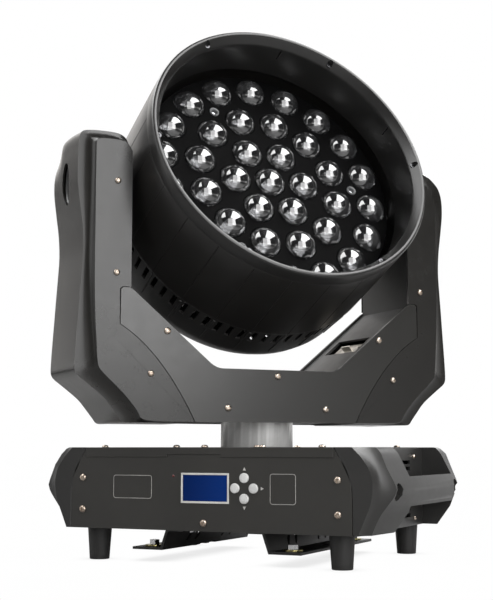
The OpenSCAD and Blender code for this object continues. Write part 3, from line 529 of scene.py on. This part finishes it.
def prism(bm, pts, low, high, axis):
    """Closed prism along axis from a 2D outline; returns its vertices."""
    def put(p, d):
        return {"y": (p[0], d, p[1]), "z": (p[0], p[1], d), "x": (d, p[0], p[1])}[axis]
    A = [bm.verts.new(put(p, low)) for p in pts]
    B = [bm.verts.new(put(p, high)) for p in pts]
    bm.faces.new(A)
    bm.faces.new(B[::-1])
    n = len(pts)
    for k in range(n):
        bm.faces.new((A[k], B[k], B[(k + 1) % n], A[(k + 1) % n]))
    return A + B


def rotate(bm, verts, degrees, axis):
    turn = Matrix.Rotation(math.radians(degrees), 3, axis)
    bmesh.ops.rotate(bm, cent=(0, 0, 0), matrix=turn, verts=verts)


def radial_box(bm, radii, half_width, heights, degrees):
    """Box reaching out from local Z in the given direction."""
    verts = prism(bm, rectangle(*radii, -half_width, half_width), *heights, "z")
    rotate(bm, verts, degrees, "Z")


def loose(bm):
    bmesh.ops.recalc_face_normals(bm, faces=bm.faces)
    return mesh_object("loose", bm)


def discard(ob):
    me = ob.data
    bpy.data.objects.remove(ob)
    bpy.data.meshes.remove(me)


def modified(bm, kind, **settings):
    """The result of one modifier on bm, as a new bmesh."""
    ob = loose(bm)
    modifier = ob.modifiers.new("step", kind)
    for key, value in settings.items():
        setattr(modifier, key, value)
    bpy.context.view_layer.update()
    graph = bpy.context.evaluated_depsgraph_get()
    graph.update()
    me = bpy.data.meshes.new_from_object(ob.evaluated_get(graph), depsgraph=graph)
    out = bmesh.new()
    out.from_mesh(me)
    bpy.data.meshes.remove(me)
    discard(ob)
    return out


def cut(bm, cutter):
    """bm minus cutter, as a new bmesh."""
    tool = loose(cutter)
    out = modified(bm, "BOOLEAN", operation="DIFFERENCE", object=tool, solver="EXACT")
    discard(tool)
    bmesh.ops.remove_doubles(out, verts=out.verts, dist=0.001)
    return out


def shell(bm, thickness):
    """Give an open sheet a wall, inwards."""
    bmesh.ops.recalc_face_normals(bm, faces=bm.faces)
    return modified(bm, "SOLIDIFY", thickness=thickness, offset=-1.0, use_even_offset=True,
                    use_quality_normals=True)


# ---------------------------------------------------------------- base side covers
PANEL_Y = 140.3  # front and back faces of the base
COVER_BOTTOM, COVER_TOP = 37.5, 130.3
BAR_BOTTOM, BAR_TOP = 66.4, 98.6
GRIP_FRONT, GRIP_BACK = -65.0, 100.0  # ends of the hand opening along Y
GRIP_ENDS = (GRIP_FRONT, GRIP_BACK)
INNER_WALL_X = 178.0
LEDGE_X = 197  # inner edge of the grip bar's ledges
RECESS_YS, RECESS_Z = (-112.0, 104.0), 83

# Rows of (z, x) or (z, y) for the right-hand cover.
OUTER_X = [(37.5, 196.3), (60, 213), (75, 219), (80, 220), (86, 220), (92, 218), (122.4, 202.5),
           (128.6, 197.5), (130.3, 194)]
FACE_INNER_X = [(37.5, 175.4), (78, 175.4), (87, 174.8), (95, 172.4), (103, 168.8), (111, 164.8),
                (119.5, 160.9), (127, 156.4), (130.3, 155.5)]
FACE_OUTER_X = [(37.5, 181.5), (41, 183), (57.8, 190.3), (69, 195.3), (80.2, 197.8),
                (90.3, 198.5), (102.6, 196.3), (112.7, 191.1), (121.7, 184), (130.3, 175.2)]
CREST_X = [(37.5, 190.8), (48, 195.5), (58, 200.5), (70, 210), (77, 215.6), (84, 219.6),
           (88, 219.0), (97, 214.7), (110, 208.4), (122.5, 202.2), (128.6, 197), (130.3, 193.6)]
FRONT_CREST_Y = [(37.5, 125), (58, 125), (70, 124.6), (85, 123.4), (97, 124.6), (110, 126),
                 (122.5, 122), (130.3, 119)]
BACK_CREST_Y = [(37.5, 116), (85, 112.5), (110, 119), (122.5, 123.5), (130.3, 116)]
LEVELS = [37.5, 41, 47, 53, 60, 66.4, 70, 75, 80, 86, 92, 98.6, 104, 110, 116, 122.4, 126, 128.6,
          130.3]
# Inner wall grid; the slots are left open in its middle column.
WALL_YS = [GRIP_FRONT, 14.0, 52.0, GRIP_BACK]
VENT_SLOTS = ((48.0, 52.4), (55.4, 59.8), (103.0, 107.4), (110.4, 114.8))
WALL_ZS = [COVER_TOP, *(z for slot in VENT_SLOTS for z in slot), COVER_TOP]


def cheek_section(z, side, crest_rows, grip_y):
    """(x, y) points at height z, from the inner edge of a face to the hand opening."""
    inner, outer = lookup(FACE_INNER_X, z), lookup(FACE_OUTER_X, z)
    crest = (lookup(CREST_X, z), side * lookup(crest_rows, z))
    pts = [(inner, side * (PANEL_Y - 4)), (inner, side * (PANEL_Y - 0.6)),
           (inner + 0.6, side * PANEL_Y), (outer - 1.2, side * PANEL_Y)]
    start = (outer, side * (PANEL_Y - 0.05))
    # concave shoulder: falls away steeply, then flares out to the crest
    for t in (0.0, 0.1, 0.22, 0.36, 0.5, 0.64, 0.78, 0.9):
        along_y = t + 0.16 * math.sin(math.pi * t)
        along_x = t - 0.13 * math.sin(math.pi * t)
        pts.append((start[0] + (crest[0] - start[0]) * along_x,
                    start[1] + (crest[1] - start[1]) * along_y))
    return pts + [crest, (lookup(OUTER_X, z), grip_y)]


def side_cover_sheet():
    """Right-hand cover: scooped cheeks, and a hand opening over and under a grip bar."""
    bm = bmesh.new()
    verts = {}

    def vert(key, co):
        if key not in verts:
            verts[key] = bm.verts.new(co)
        return verts[key]

    sections = {z: (cheek_section(z, -1, FRONT_CREST_Y, GRIP_FRONT),
                    cheek_section(z, 1, BACK_CREST_Y, GRIP_BACK)) for z in LEVELS}
    count = len(sections[COVER_BOTTOM][0])
    last = count - 1
    for s in (0, 1):
        for a, b in zip(LEVELS, LEVELS[1:]):
            for k in range(last):
                corners = ((a, k), (a, k + 1), (b, k + 1), (b, k))
                bm.faces.new([vert((s, z, j), (*sections[z][s][j], z)) for z, j in corners])
    # grip bar: outer skin between the openings, its top and bottom ledges
    bar = [z for z in LEVELS if BAR_BOTTOM <= z <= BAR_TOP]
    for a, b in zip(bar, bar[1:]):
        bm.faces.new([verts[key] for key in
                      ((0, a, last), (1, a, last), (1, b, last), (0, b, last))])
    top, bottom = ([bm.verts.new((LEDGE_X, y, z)) for y in GRIP_ENDS] for z in (97.2, 67.8))
    for z, ledge in ((BAR_TOP, top), (BAR_BOTTOM, bottom)):
        bm.faces.new([verts[(0, z, last)], verts[(1, z, last)], ledge[1], ledge[0]])
    # inner wall with two pairs of vent slots
    for i in range(3):
        y0, y1 = WALL_YS[i], WALL_YS[i + 1]
        for a, b in zip(WALL_ZS, WALL_ZS[1:]):
            if i == 1 and (a, b) in VENT_SLOTS:
                continue
            bm.faces.new([vert(("wall", y, z), (INNER_WALL_X, y, z))
                          for y, z in ((y0, a), (y1, a), (y1, b), (y0, b))])
    # walls that close the cheeks at both ends of the opening, round the bar
    for s, y in enumerate(GRIP_ENDS):
        inner = [verts[("wall", y, z)] for z in WALL_ZS]
        upper = [verts[(s, z, last)] for z in LEVELS[::-1] if z >= BAR_TOP]
        lower = [verts[(s, z, last)] for z in LEVELS[::-1] if z <= BAR_BOTTOM]
        bm.faces.new(inner + upper + [top[s], bottom[s]] + lower)
    # top: cheeks and the flange over the inner wall; bottom: cheeks
    flange = [bm.verts.new((155.5, y, COVER_TOP)) for y in GRIP_ENDS]
    for s, y in enumerate(GRIP_ENDS):
        for z, corner in ((COVER_TOP, flange[s]), (COVER_BOTTOM, None)):
            corner = corner or bm.verts.new((175.4, y, z))
            bm.faces.new([verts[(s, z, k)] for k in range(count)]
                         + [verts[("wall", y, z)], corner])
    bm.faces.new(flange + [verts[("wall", y, COVER_TOP)] for y in WALL_YS[::-1]])
    return bm


WALL_ZS[0] = COVER_BOTTOM


def side_cover(side):
    bm = shell(side_cover_sheet(), thickness=2.4)
    # oval recesses at both ends of the grip, each lined with a cup
    cutter = bmesh.new()
    for y in RECESS_YS:
        prism(cutter, oval(y, RECESS_Z, 10.0, 9.4, 32), 212.5, 226, "x")
    bm = cut(bm, cutter)
    for y in RECESS_YS:
        rows = [[bm.verts.new((x, *p))
                 for p in oval(y, RECESS_Z, 10.4 * size, 9.8 * size, 28)]
                for size, x in ((1.0, 214.2), (1.0, 212.2), (0.96, 207.0), (0.5, 206.4))]
        for first, second in zip(rows, rows[1:]):
            bridge(bm, first, second)
        bm.faces.new(rows[-1])
    if side == "left":
        bmesh.ops.scale(bm, vec=(-1, 1, 1), verts=bm.verts)
        bmesh.ops.reverse_faces(bm, faces=bm.faces)
    piece("side_cover_%s_skin" % side, bm, "m_moulded", "base",
          "side_cover_" + side, bevel=0.7, segments=3, limit=24, sharp=40)


# ---------------------------------------------------------------- yoke arm covers
# Rows of (x, z) up the right arm: its outer side, and the crest where the shoulders end.
ARM_OUTER = [(106.8, 158), (150, 158), (176, 158), (190, 158.2), (196, 164.6), (204, 174.5),
             (213.8, 186), (228, 197.5), (238, 205), (243.7, 209.4), (247, 213.8), (248, 221),
             (247, 243), (245.1, 272), (243, 305), (241.3, 330), (240, 355), (241.3, 380),
             (244.4, 403), (247.4, 426)]
ARM_CREST = [(106.8, 159.3), (150, 159.6), (170.5, 161.8), (176, 169), (182, 177), (192, 188.5),
             (203, 199), (214, 209), (220.5, 215.5), (223.4, 220), (224.6, 226), (225.3, 234),
             (226.3, 250), (228, 275), (229.2, 312), (229.5, 335), (229.6, 358), (229.6, 382),
             (229.7, 405), (229.8, 427)]
# The crown is round at the -Y end of the right-hand moulding and nearly square at the other.
ROUND_OUTER = [(248, 440), (247.4, 448), (246, 455), (243.5, 461), (240, 466), (232, 473),
               (225, 477.8), (217, 482), (208, 485.6), (200, 486), (194.8, 484.8),
               (189.4, 479.5), (186.1, 472)]
ROUND_CREST = [(229.6, 436), (228.6, 444), (226.9, 450), (224.6, 456), (221.6, 460.5),
               (216.4, 465.6), (211, 469.4), (206, 472), (202, 473.6), (198.5, 474.4),
               (194, 473.6), (189.6, 470), (186.1, 465)]
SQUARE_OUTER = [(248, 440), (248, 452), (247.8, 462), (247.4, 470), (246.9, 478),
                (245.6, 484.5), (242, 488.6), (234, 490.3), (222, 491), (206, 490.8),
                (196.5, 489), (190, 484), (186.1, 474)]
SQUARE_CREST = [(229.7, 438), (229.7, 448), (229.7, 456), (229.7, 464), (229.6, 470),
                (229.2, 475.4), (226.8, 478.4), (221, 479.5), (213, 479.8), (205, 479.6),
                (197, 478.6), (191, 475.5), (186.1, 468)]
# Inner edge of the flat faces, (x, z) from the crown down along the yoke plate.
ARM_INNER = [(186.1, 310.9), (196.0, 310.9), (199.4, 308.2)]
ARM_INNER += [(x + 1.0, z - 0.2)
              for x, z in bezier((198.3, 268.3), (147, 239), (106.3, 159.3), steps=9)]
ARM_HALF_DEPTH, OUTER_HALF_DEPTH = 57.1, 46.2
BADGE_Z = 435


def arm_column(bm, crest_share, y):
    """Vertices up the arm at depth y, crest_share of the way from outer side to crest."""
    roundness = clamp((-20.0 - y) / 32.0)
    outer = spline(ARM_OUTER + [lerp(s, r, roundness)
                                for s, r in zip(SQUARE_OUTER, ROUND_OUTER)], 3)
    crest = spline(ARM_CREST + [lerp(s, r, roundness)
                                for s, r in zip(SQUARE_CREST, ROUND_CREST)], 3)
    # the top of the crown is arched from front to back
    lift = 2.6 * math.sin(math.pi * clamp((y + 47) / 94)) ** 1.5
    return [bm.verts.new((o[0] + (c[0] - o[0]) * crest_share, y,
                          o[1] + (c[1] - o[1]) * crest_share + lift * clamp((o[1] - 466) / 20)))
            for o, c in zip(outer, crest)]


def arm_cover(side):
    """Shell open towards the yoke: flat front and back, scooped shoulders, one outer side."""
    step = ARM_HALF_DEPTH - OUTER_HALF_DEPTH
    shoulder = [(1 - t ** 1.6, ARM_HALF_DEPTH - step * (1 - (1 - t) ** 1.6))
                for t in (0.0, 0.12, 0.26, 0.42, 0.58, 0.74, 0.88, 1.0)]
    stations = [(share, -y) for share, y in shoulder]
    stations += [(0, y) for y in (-41, -36, -31, -26, -21, -16, -6, 6, 16, 26, 36)]
    stations += shoulder[::-1]
    bm = bmesh.new()
    grid = [arm_column(bm, share, y) for share, y in stations]
    for A, B in zip(grid, grid[1:]):
        for k in range(len(A) - 1):
            bm.faces.new((A[k], A[k + 1], B[k + 1], B[k]))
    for y, column in ((-ARM_HALF_DEPTH, grid[0]), (ARM_HALF_DEPTH, grid[-1])):
        bm.faces.new(column + [bm.verts.new((x, y, z)) for x, z in ARM_INNER])
    bm = shell(bm, thickness=2.3)
    cutter = bmesh.new()
    prism(cutter, [(y, z) for z, y in oval(BADGE_Z, 0, 25.2, 13.2, 48)], 238, 260, "x")
    bm = cut(bm, cutter)
    if side == "left":
        rotate(bm, bm.verts, 180, "Z")
    piece("arm_cover_%s_shell" % side, bm, "m_arm", "yoke",
          "arm_cover_" + side, bevel=0.5, sharp=28)


# Oval badge with a raised rim and a plain domed field: share of full size, x.
BADGE_ROWS = ((1.0, 240.4), (1.0, 243.4), (0.9, 244.2), (0.84, 243.4), (0.8, 242.6),
              (0.45, 243.3), (0.0, 243.5))


def badges():
    bm = bmesh.new()
    for side in (1, -1):
        rows = []
        for size, x in BADGE_ROWS:
            pts = oval(BADGE_Z, 0, 24.9 * size, 12.9 * size, 48) if size else [(BADGE_Z, 0)]
            rows.append([bm.verts.new((side * x, y, z)) for z, y in pts])
        bm.faces.new(rows[0])
        for first, second in zip(rows, rows[1:]):
            bridge(bm, first, second)
    piece("arm_badge_plates", bm, "m_badge", "yoke", "arm_badges", bevel=0.3)


# ---------------------------------------------------------------- head: barrel, rim, rear cover
# (radius, height) profiles; a third value marks rows that are grooved.
BARREL = [(179.2, -21.8), (179.5, -21.0, 1), (179.5, -19, 1), (179.35, 20, 1), (179.1, 60, 1),
          (178.8, 92.5, 1), (178.5, 94), (175.6, 94), (176.3, -21.8)]
RIM = [(178.6, 94.02), (178.45, 108.5), (178.1, 110.3), (177.3, 111.5), (176.0, 112.0),
       (174.1, 112.0), (173.2, 111.6), (172.6, 110.9), (166.9, 102.6), (166.3, 101.4),
       (166.05, 100.0), (166.15, 98.0), (168.4, 52), (170.2, 52), (169.2, 94.02)]
# Column offsets in degrees within each of the 24 sectors round the head.
BARREL_COLUMNS = (-0.2, -0.09, 0.09, 0.2, 1.5, 3.0, 4.5, 6.0, 7.5, 9.0, 10.5, 12.0, 13.5)
REAR_COLUMNS = (-0.52, -0.40, 0.40, 0.52, 1.523, 3.477, 5.0, 6.523, 8.477, 10.0, 11.523, 13.477)
SLOT_COLUMNS = {4, 7, 10}
# Rear cover: (height, radius), and the heights of its rings.
REAR_RADII = [(-132, 100), (-130.9, 108), (-129, 120), (-125.5, 131), (-118, 146), (-109, 157),
              (-98, 166), (-88, 171.3), (-78, 174.5), (-50, 176.6), (-22, 179)]
REAR_HEIGHTS = [-22.02, -24.5, -25.4, -26.0, -47.0, -50.0, -60, -72.6, -73.2, -78, -83, -88, -93,
                -98, -104, -109, -114, -118, -122, -125.5, -129, -130.9, -132]
SLOT_FRONT, SLOT_BACK = -24.5, -47.0
GRILLE_RADIUS = 58


def sectors(offsets):
    """(angle, offset) of every column round the head."""
    return [(math.radians(15 * k + 5 + d), d) for k in range(24) for d in offsets]


def barrel():
    """Tube with 24 fine lengthwise grooves."""
    columns = sectors(BARREL_COLUMNS)
    bm = bmesh.new()
    lathe(bm, BARREL, [a for a, _ in columns], [-0.4 if abs(d) < 0.1 else 0 for _, d in columns])
    piece("barrel_tube", bm, "m_barrel", "head", "head_barrel",
          bevel=0.25, limit=40, sharp=30)


def rim():
    """Front ring with six round holes in its face and six notches inside."""
    bm = bmesh.new()
    turned(bm, RIM, 288)
    cutter = bmesh.new()
    for k, (x, y) in enumerate(spread(6, 170)):
        turned(cutter, [(0, 104), (3.7, 104), (3.7, 116), (0, 116)], 24, x, y)
        radial_box(cutter, radii=(160, 168.9), half_width=0.9, heights=(83.5, 99),
                   degrees=60 * k + 22)
    piece("rim_ring", cut(bm, cutter), "m_hood", "head", "rim_hood", sharp=24)


def rear_cover():
    """Vent ring with slots and ribs, rounded back with two grilles."""
    columns = sectors(REAR_COLUMNS)
    angles = [a for a, _ in columns]
    slots = {k for k in range(len(angles)) if k % len(REAR_COLUMNS) in SLOT_COLUMNS}
    bm = bmesh.new()
    rings = []
    for height in REAR_HEIGHTS:
        radius = lookup(REAR_RADII, height)
        rib = 0.9 if -72.8 < height < -25.8 else 0.0
        radii = [radius + (rib if abs(d) < 0.5 else 0.0) for _, d in columns]
        rings.append(ring(bm, radii, height, angles))
    for i, (first, second) in enumerate(zip(rings, rings[1:])):
        slotted = REAR_HEIGHTS[i] <= SLOT_FRONT and REAR_HEIGHTS[i + 1] >= SLOT_BACK
        bridge(bm, first, second, slots if slotted else ())
    # back plate: rings down to the middle
    back = [rings[-1]]
    for radius in (92, 78, 66, 60):
        back.append(ring(bm, [radius] * len(angles), REAR_HEIGHTS[-1], angles))
    for first, second in zip(back, back[1:]):
        bridge(bm, first, second)
    bm.faces.new(back[-1])
    bm = shell(bm, thickness=2.6)
    # parallel slots in the middle, radial ones round the rounded edge
    cutter = bmesh.new()
    for x in range(-50, 51, 10):
        w = math.sqrt(GRILLE_RADIUS * GRILLE_RADIUS - x * x)
        prism(cutter, rectangle(x - 2.6, x + 2.6, -w, w), -136, -126, "z")
    for k in range(36):
        radial_box(cutter, radii=(124, 142), half_width=2.2, heights=(-134, -112),
                   degrees=10 * k)
    piece("rear_cover_shell", cut(bm, cutter), "m_vent", "head", "rear_cover",
          sharp=30)


# ---------------------------------------------------------------- lens plate, rods and lenses
LENSES = [(0.0, 0.0)] + spread(6, 46.6) + spread(12, 92.2, 15) + spread(18, 139.7, 10)
RODS = spread(3, 115.4)
PLATE_TOP = 41.0  # height of the lens plate's face
DOME_HEIGHT, DOME_BASE_RADIUS, DOME_STEPS = 13.0, 20.2, 14
# Profiles of (radius, height above the plate's face).
PLATE = [(0, -3), (162.9, -3), (163.5, -2.4), (163.5, -0.6), (162.9, 0), (0, 0)]
LENS_HOLE = [(0, -8), (20.3, -8), (20.3, -0.7), (21.0, 0.01), (21.0, 6), (0, 6)]
ROD_HOLE = [(0, -8), (4.1, -8), (4.1, 6), (0, 6)]
BUSH = [(4.0, -3.0), (4.0, 0.02), (6.2, 0.02), (6.35, 0.5), (6.2, 1.2), (5.7, 1.7), (4.6, 1.7),
        (4.0, 1.3), (3.3, 0.4), (2.9, -1.2), (2.7, -3.0)]
LENS_SEAT = [(0, -6), (21.0, -6), (21.8, -5.5), (21.8, -3.3), (20.2, -3.1), (20.2, 0.4)]
CUP = [(20.2, -6.2), (20.2, -8), (15.0, -11.2), (8.6, -13.1), (4.2, -13.6), (4.2, -14.2),
       (9.0, -13.8), (15.6, -11.9), (21.6, -8.4), (21.6, -6.2)]
ROD_TOP = [(2.5, -2.6), (2.1, -2.0), (0, -2.0)]


def above_plate(profile):
    return [(r, PLATE_TOP + h) for r, h in profile]


def at_each(places, profile, n, bm=None):
    """The same turned part at every place."""
    bm = bm or bmesh.new()
    for x, y in places:
        turned(bm, profile, n, x, y)
    return bm


def dome():
    """Spherical cap from just above the seat to the axis."""
    radius = (DOME_BASE_RADIUS**2 + DOME_HEIGHT**2) / (2 * DOME_HEIGHT)
    spread_angle = math.asin(DOME_BASE_RADIUS / radius)
    top = LENS_SEAT[-1][1] + DOME_HEIGHT
    angles = [spread_angle * (1 - k / DOME_STEPS) for k in range(1, DOME_STEPS)]
    return [(radius * math.sin(a), top - radius + radius * math.cos(a))
            for a in angles] + [(0, top)]


def lens_pieces():
    cutter = at_each(LENSES, above_plate(LENS_HOLE), 48)
    at_each(RODS, above_plate(ROD_HOLE), 32, cutter)
    plate = cut(at_each([(0, 0)], above_plate(PLATE), 192), cutter)
    piece("lens_plate_disc", plate, "m_lensplate", "lens_carrier",
          "lens_plate", sharp=30)
    rod = [(0, -84), (2.2, -84), (2.5, -83.6)] + above_plate(ROD_TOP)
    piece("zoom_rods", at_each(RODS, rod, 32), "m_bearing", "lens_carrier",
          sharp=35)
    piece("rod_bushes", at_each(RODS, above_plate(BUSH), 40), "m_bush", "lens_carrier",
          sharp=35)
    piece("lens_domes", at_each(LENSES, above_plate(LENS_SEAT + dome()), 48), "m_lens",
          "lens_carrier", "lenses", sharp=40)
    piece("lens_cups", at_each(LENSES, above_plate(CUP), 32), "m_cup", "lens_carrier",
          sharp=40)


# ---------------------------------------------------------------- display panel details
FRONT_Y = -PANEL_Y
INK_Y = FRONT_Y - 0.07  # face of the printed marks
MARK_FRAMES = ((-117.5, -66.8, 72.4, 98.7), (80.7, 111.1, 68.6, 101.5))  # x0, x1, z0, z1
MARK_RADIUS, MARK_WIDTH = 3.0, 0.5
MARK_ARROWS = ((49.9, 106.2, 90), (49.9, 64.4, 270), (71.0, 85.4, 0))  # x, z, degrees


def mark_frame(bm, x0, x1, z0, z1):
    """Rounded rectangular printed frame."""
    r = MARK_RADIUS

    def loops(inset):
        pts = []
        for cx, cz, start in ((x1 - r, z1 - r, 0), (x0 + r, z1 - r, 90),
                              (x0 + r, z0 + r, 180), (x1 - r, z0 + r, 270)):
            for k in range(7):
                a = math.radians(start + 15 * k)
                pts.append((cx + (r - inset) * math.cos(a), cz + (r - inset) * math.sin(a)))
        return pts

    outer, inner = loops(0), loops(MARK_WIDTH)
    A, B, C, D = ([bm.verts.new((x, y, z)) for x, z in pts]
                  for y in (INK_Y, FRONT_Y) for pts in (outer, inner))
    n = len(outer)
    for k in range(n):
        j = (k + 1) % n
        bm.faces.new((A[k], A[j], B[j], B[k]))
        bm.faces.new((C[k], D[k], D[j], C[j]))
        bm.faces.new((A[k], C[k], C[j], A[j]))
        bm.faces.new((B[k], B[j], D[j], D[k]))


def panel_details():
    bm = bmesh.new()
    for sides in MARK_FRAMES:
        mark_frame(bm, *sides)
    for x, z, degrees in MARK_ARROWS:
        angles = [math.radians(degrees + d) for d in (0, 125, 235)]
        prism(bm, [(x + 2.3 * math.cos(a), z + 2.3 * math.sin(a)) for a in angles],
              INK_Y, FRONT_Y, "y")
    piece("panel_marks", bm, "m_ink", "base")
    bm = bmesh.new()
    turned(bm, [(0, -1.0), (1.5, -1.0), (1.5, 0.5), (1.2, 0.9), (0.6, 1.15), (0, 1.2)], 24)
    rotate(bm, bm.verts, 90, "X")
    bmesh.ops.translate(bm, vec=(-38.9, FRONT_Y, 98.3), verts=bm.verts)
    piece("indicator_lens", bm, "m_led_red", "base")


for build in (side_cover, arm_cover):
    for side in ("right", "left"):
        build(side)
badges()
barrel()
rim()
rear_cover()
lens_pieces()
panel_details()


# ---------------------------------------------------------------- world
def studio_world():
    """White to the camera; otherwise a soft glow and a broken bright band at the horizon."""
    world = bpy.data.worlds.new("studio")
    bpy.context.scene.world = world
    g = Graph(world, "ShaderNodeOutputWorld", "Generated")
    toward = g.node("ShaderNodeVectorMath", (g.coords, (-0.42, 0.90, 0.1)),
                    operation="DOT_PRODUCT").outputs["Value"]
    glow = g.ramp(toward, span=(0.2, 0.8), to=(0.02, 0.10), kind="LINEAR")
    z = g.node("ShaderNodeSeparateXYZ", (g.coords,)).outputs["Z"]
    height = g.node("ShaderNodeMath", (z,), operation="ABSOLUTE").outputs[0]
    band = g.ramp(height, span=(0.05, 0.14), to=(1.5, 0.0), kind="LINEAR")
    flat = g.node("ShaderNodeVectorMath", (g.coords, (1, 1, 0)), operation="MULTIPLY")
    stripes = g.noise(scale=2.6, detail=1.5, rough=0.5, coords=flat.outputs["Vector"])
    stripes = g.ramp(stripes, span=(0.40, 0.58), to=(0.12, 1.0))
    broken = g.node("ShaderNodeMath", (band, stripes), operation="MULTIPLY").outputs[0]
    strength = g.node("ShaderNodeMath", (broken, glow), operation="ADD").outputs[0]
    lit = g.node("ShaderNodeBackground", ((1.0, 0.99, 0.975), strength))
    seen = g.node("ShaderNodeBackground", ((1, 1, 1), 1.0))
    is_camera = g.node("ShaderNodeLightPath").outputs["Is Camera Ray"]
    g.surface(g.node("ShaderNodeMixShader", (is_camera, lit.outputs[0], seen.outputs[0])))


# ---------------------------------------------------------------- lights (metres)
WALL_DISTANCE = 2.0
HEAD_HEIGHT = 0.41  # overhead heights are measured from here
# name, start and end azimuth (0 = +X, anticlockwise), bottom, top, radiance, colour
WALLS = (
    ("key_left", -63, -37, 0.02, 1.85, 2.8, (1, 1, 1)),
    ("key_right", -37, -17, 0.34, 1.85, 5.2, (1, 1, 1)),
    ("key_low", -37, -17, 0.02, 0.34, 1.3, (1, 1, 1)),
    ("side_left", -140, -108, 0.6, 1.9, 1.7, (1, 1, 1)),
    ("side_low", -180, -145, 0.1, 1.7, 0.8, (1, 1, 1)),
    ("back_left", 120, 160, 0.3, 1.9, 1.4, (1, 0.97, 0.94)),
    ("back_right", 70, 112, 0.1, 1.2, 0.9, (1, 1, 1)),
)
# x, y, direction of the width, width, depth; the lengths are for a height of 1
MAIN = (0.62, 0.5, (-0.5, 0.866, 0), 2.6, 0.95)
REAR = (-0.1, 2.35, (-0.42, 0.91, 0), 1.3, 1.2)
LEFT = (-0.75, -0.3, (-0.42, 0.91, 0), 2.0, 1.1)
# name, place, height, radiance, colour, lights diffuse surfaces
OVERHEADS = (
    ("top_main", MAIN, 1.35, 2.3, (1, 0.995, 0.985), True),
    ("top_rear", REAR, 1.35, 5.5, (1, 1, 1), True),
    ("top_left", LEFT, 1.35, 0.6, (1, 1, 1), True),
    ("sheen_top", MAIN, 1.28, 4.5, (1, 1, 1), False),
    ("sheen_left", LEFT, 1.28, 4.5, (1, 1, 1), False),
)


def softbox(name, centre, along, facing, width, height, radiance, color):
    """Rectangular area light of a given radiance, its width along a direction."""
    light = bpy.data.lights.new(name, "AREA")
    light.shape = "RECTANGLE"
    light.size = width
    light.size_y = height
    light.energy = math.pi * width * height * radiance
    light.color = color
    ob = add_object(name, light)
    z = -unit(facing)
    y = z.cross(unit(along)).normalized()
    ob.matrix_world = frame_of(y.cross(z), z, Vector(centre))
    return ob


def lights():
    for name, start, end, bottom, top, radiance, color in WALLS:
        a = math.radians((start + end) / 2)
        c, s = math.cos(a), math.sin(a)
        width = 2 * WALL_DISTANCE * math.tan(math.radians((end - start) / 2))
        softbox(name, (WALL_DISTANCE * c, WALL_DISTANCE * s, (bottom + top) / 2), (-s, c, 0),
                (-c, -s, 0), width, top - bottom, radiance, color)
    for name, (x, y, along, w, d), height, radiance, color, diffuse in OVERHEADS:
        ob = softbox(name, (x * height, y * height, HEAD_HEIGHT + height), along, (0, 0, -1),
                     w * height, d * height, radiance, color)
        ob.visible_diffuse = diffuse


# ---------------------------------------------------------------- floor and camera
def floor():
    """White to the camera with a soft contact shade; otherwise it bounces light faintly."""
    g = material("m_floor")
    ao = g.node("ShaderNodeAmbientOcclusion", {"Distance": 0.03}, samples=8).outputs["AO"]

    def mottled(dark, light):
        return g.mix(g.ramp(g.noise(scale=3, detail=3), span=(0.3, 0.7)), dark, light)

    tone = mottled((0.995, 0.995, 0.995), (1, 1, 1))
    shade = g.mix(g.ramp(ao, span=(0.25, 1.0)), (0.80, 0.80, 0.80), tone)
    seen = g.node("ShaderNodeEmission", {"Color": shade})
    bounce = g.bsdf(mottled((0.46, 0.46, 0.46), (0.50, 0.50, 0.50)), rough=0.6, spec=0.2)
    is_camera = g.node("ShaderNodeLightPath").outputs["Is Camera Ray"]
    g.surface(g.node("ShaderNodeMixShader", (is_camera, bounce.outputs[0], seen.outputs[0])))
    bm = bmesh.new()
    bmesh.ops.create_grid(bm, x_segments=8, y_segments=8, size=14)
    ob = mesh_object("floor", bm)
    ob.data.materials.append(MATS["m_floor"])
    ob.location = (0, 0, -0.0002)


def camera():
    cam = bpy.data.cameras.new("camera")
    ob = add_object("camera", cam)
    ob.location = (0.61639, -1.33139, 0.12853)
    ob.rotation_euler = (math.radians(97.133), 0, math.radians(25.332))
    cam.lens = 71.34
    cam.sensor_width = 36
    cam.clip_start = 0.02
    cam.clip_end = 60
    bpy.context.scene.camera = ob


studio_world()
lights()
floor()
camera()
view = bpy.context.scene.view_settings
view.view_transform = "Standard"
view.look = "None"
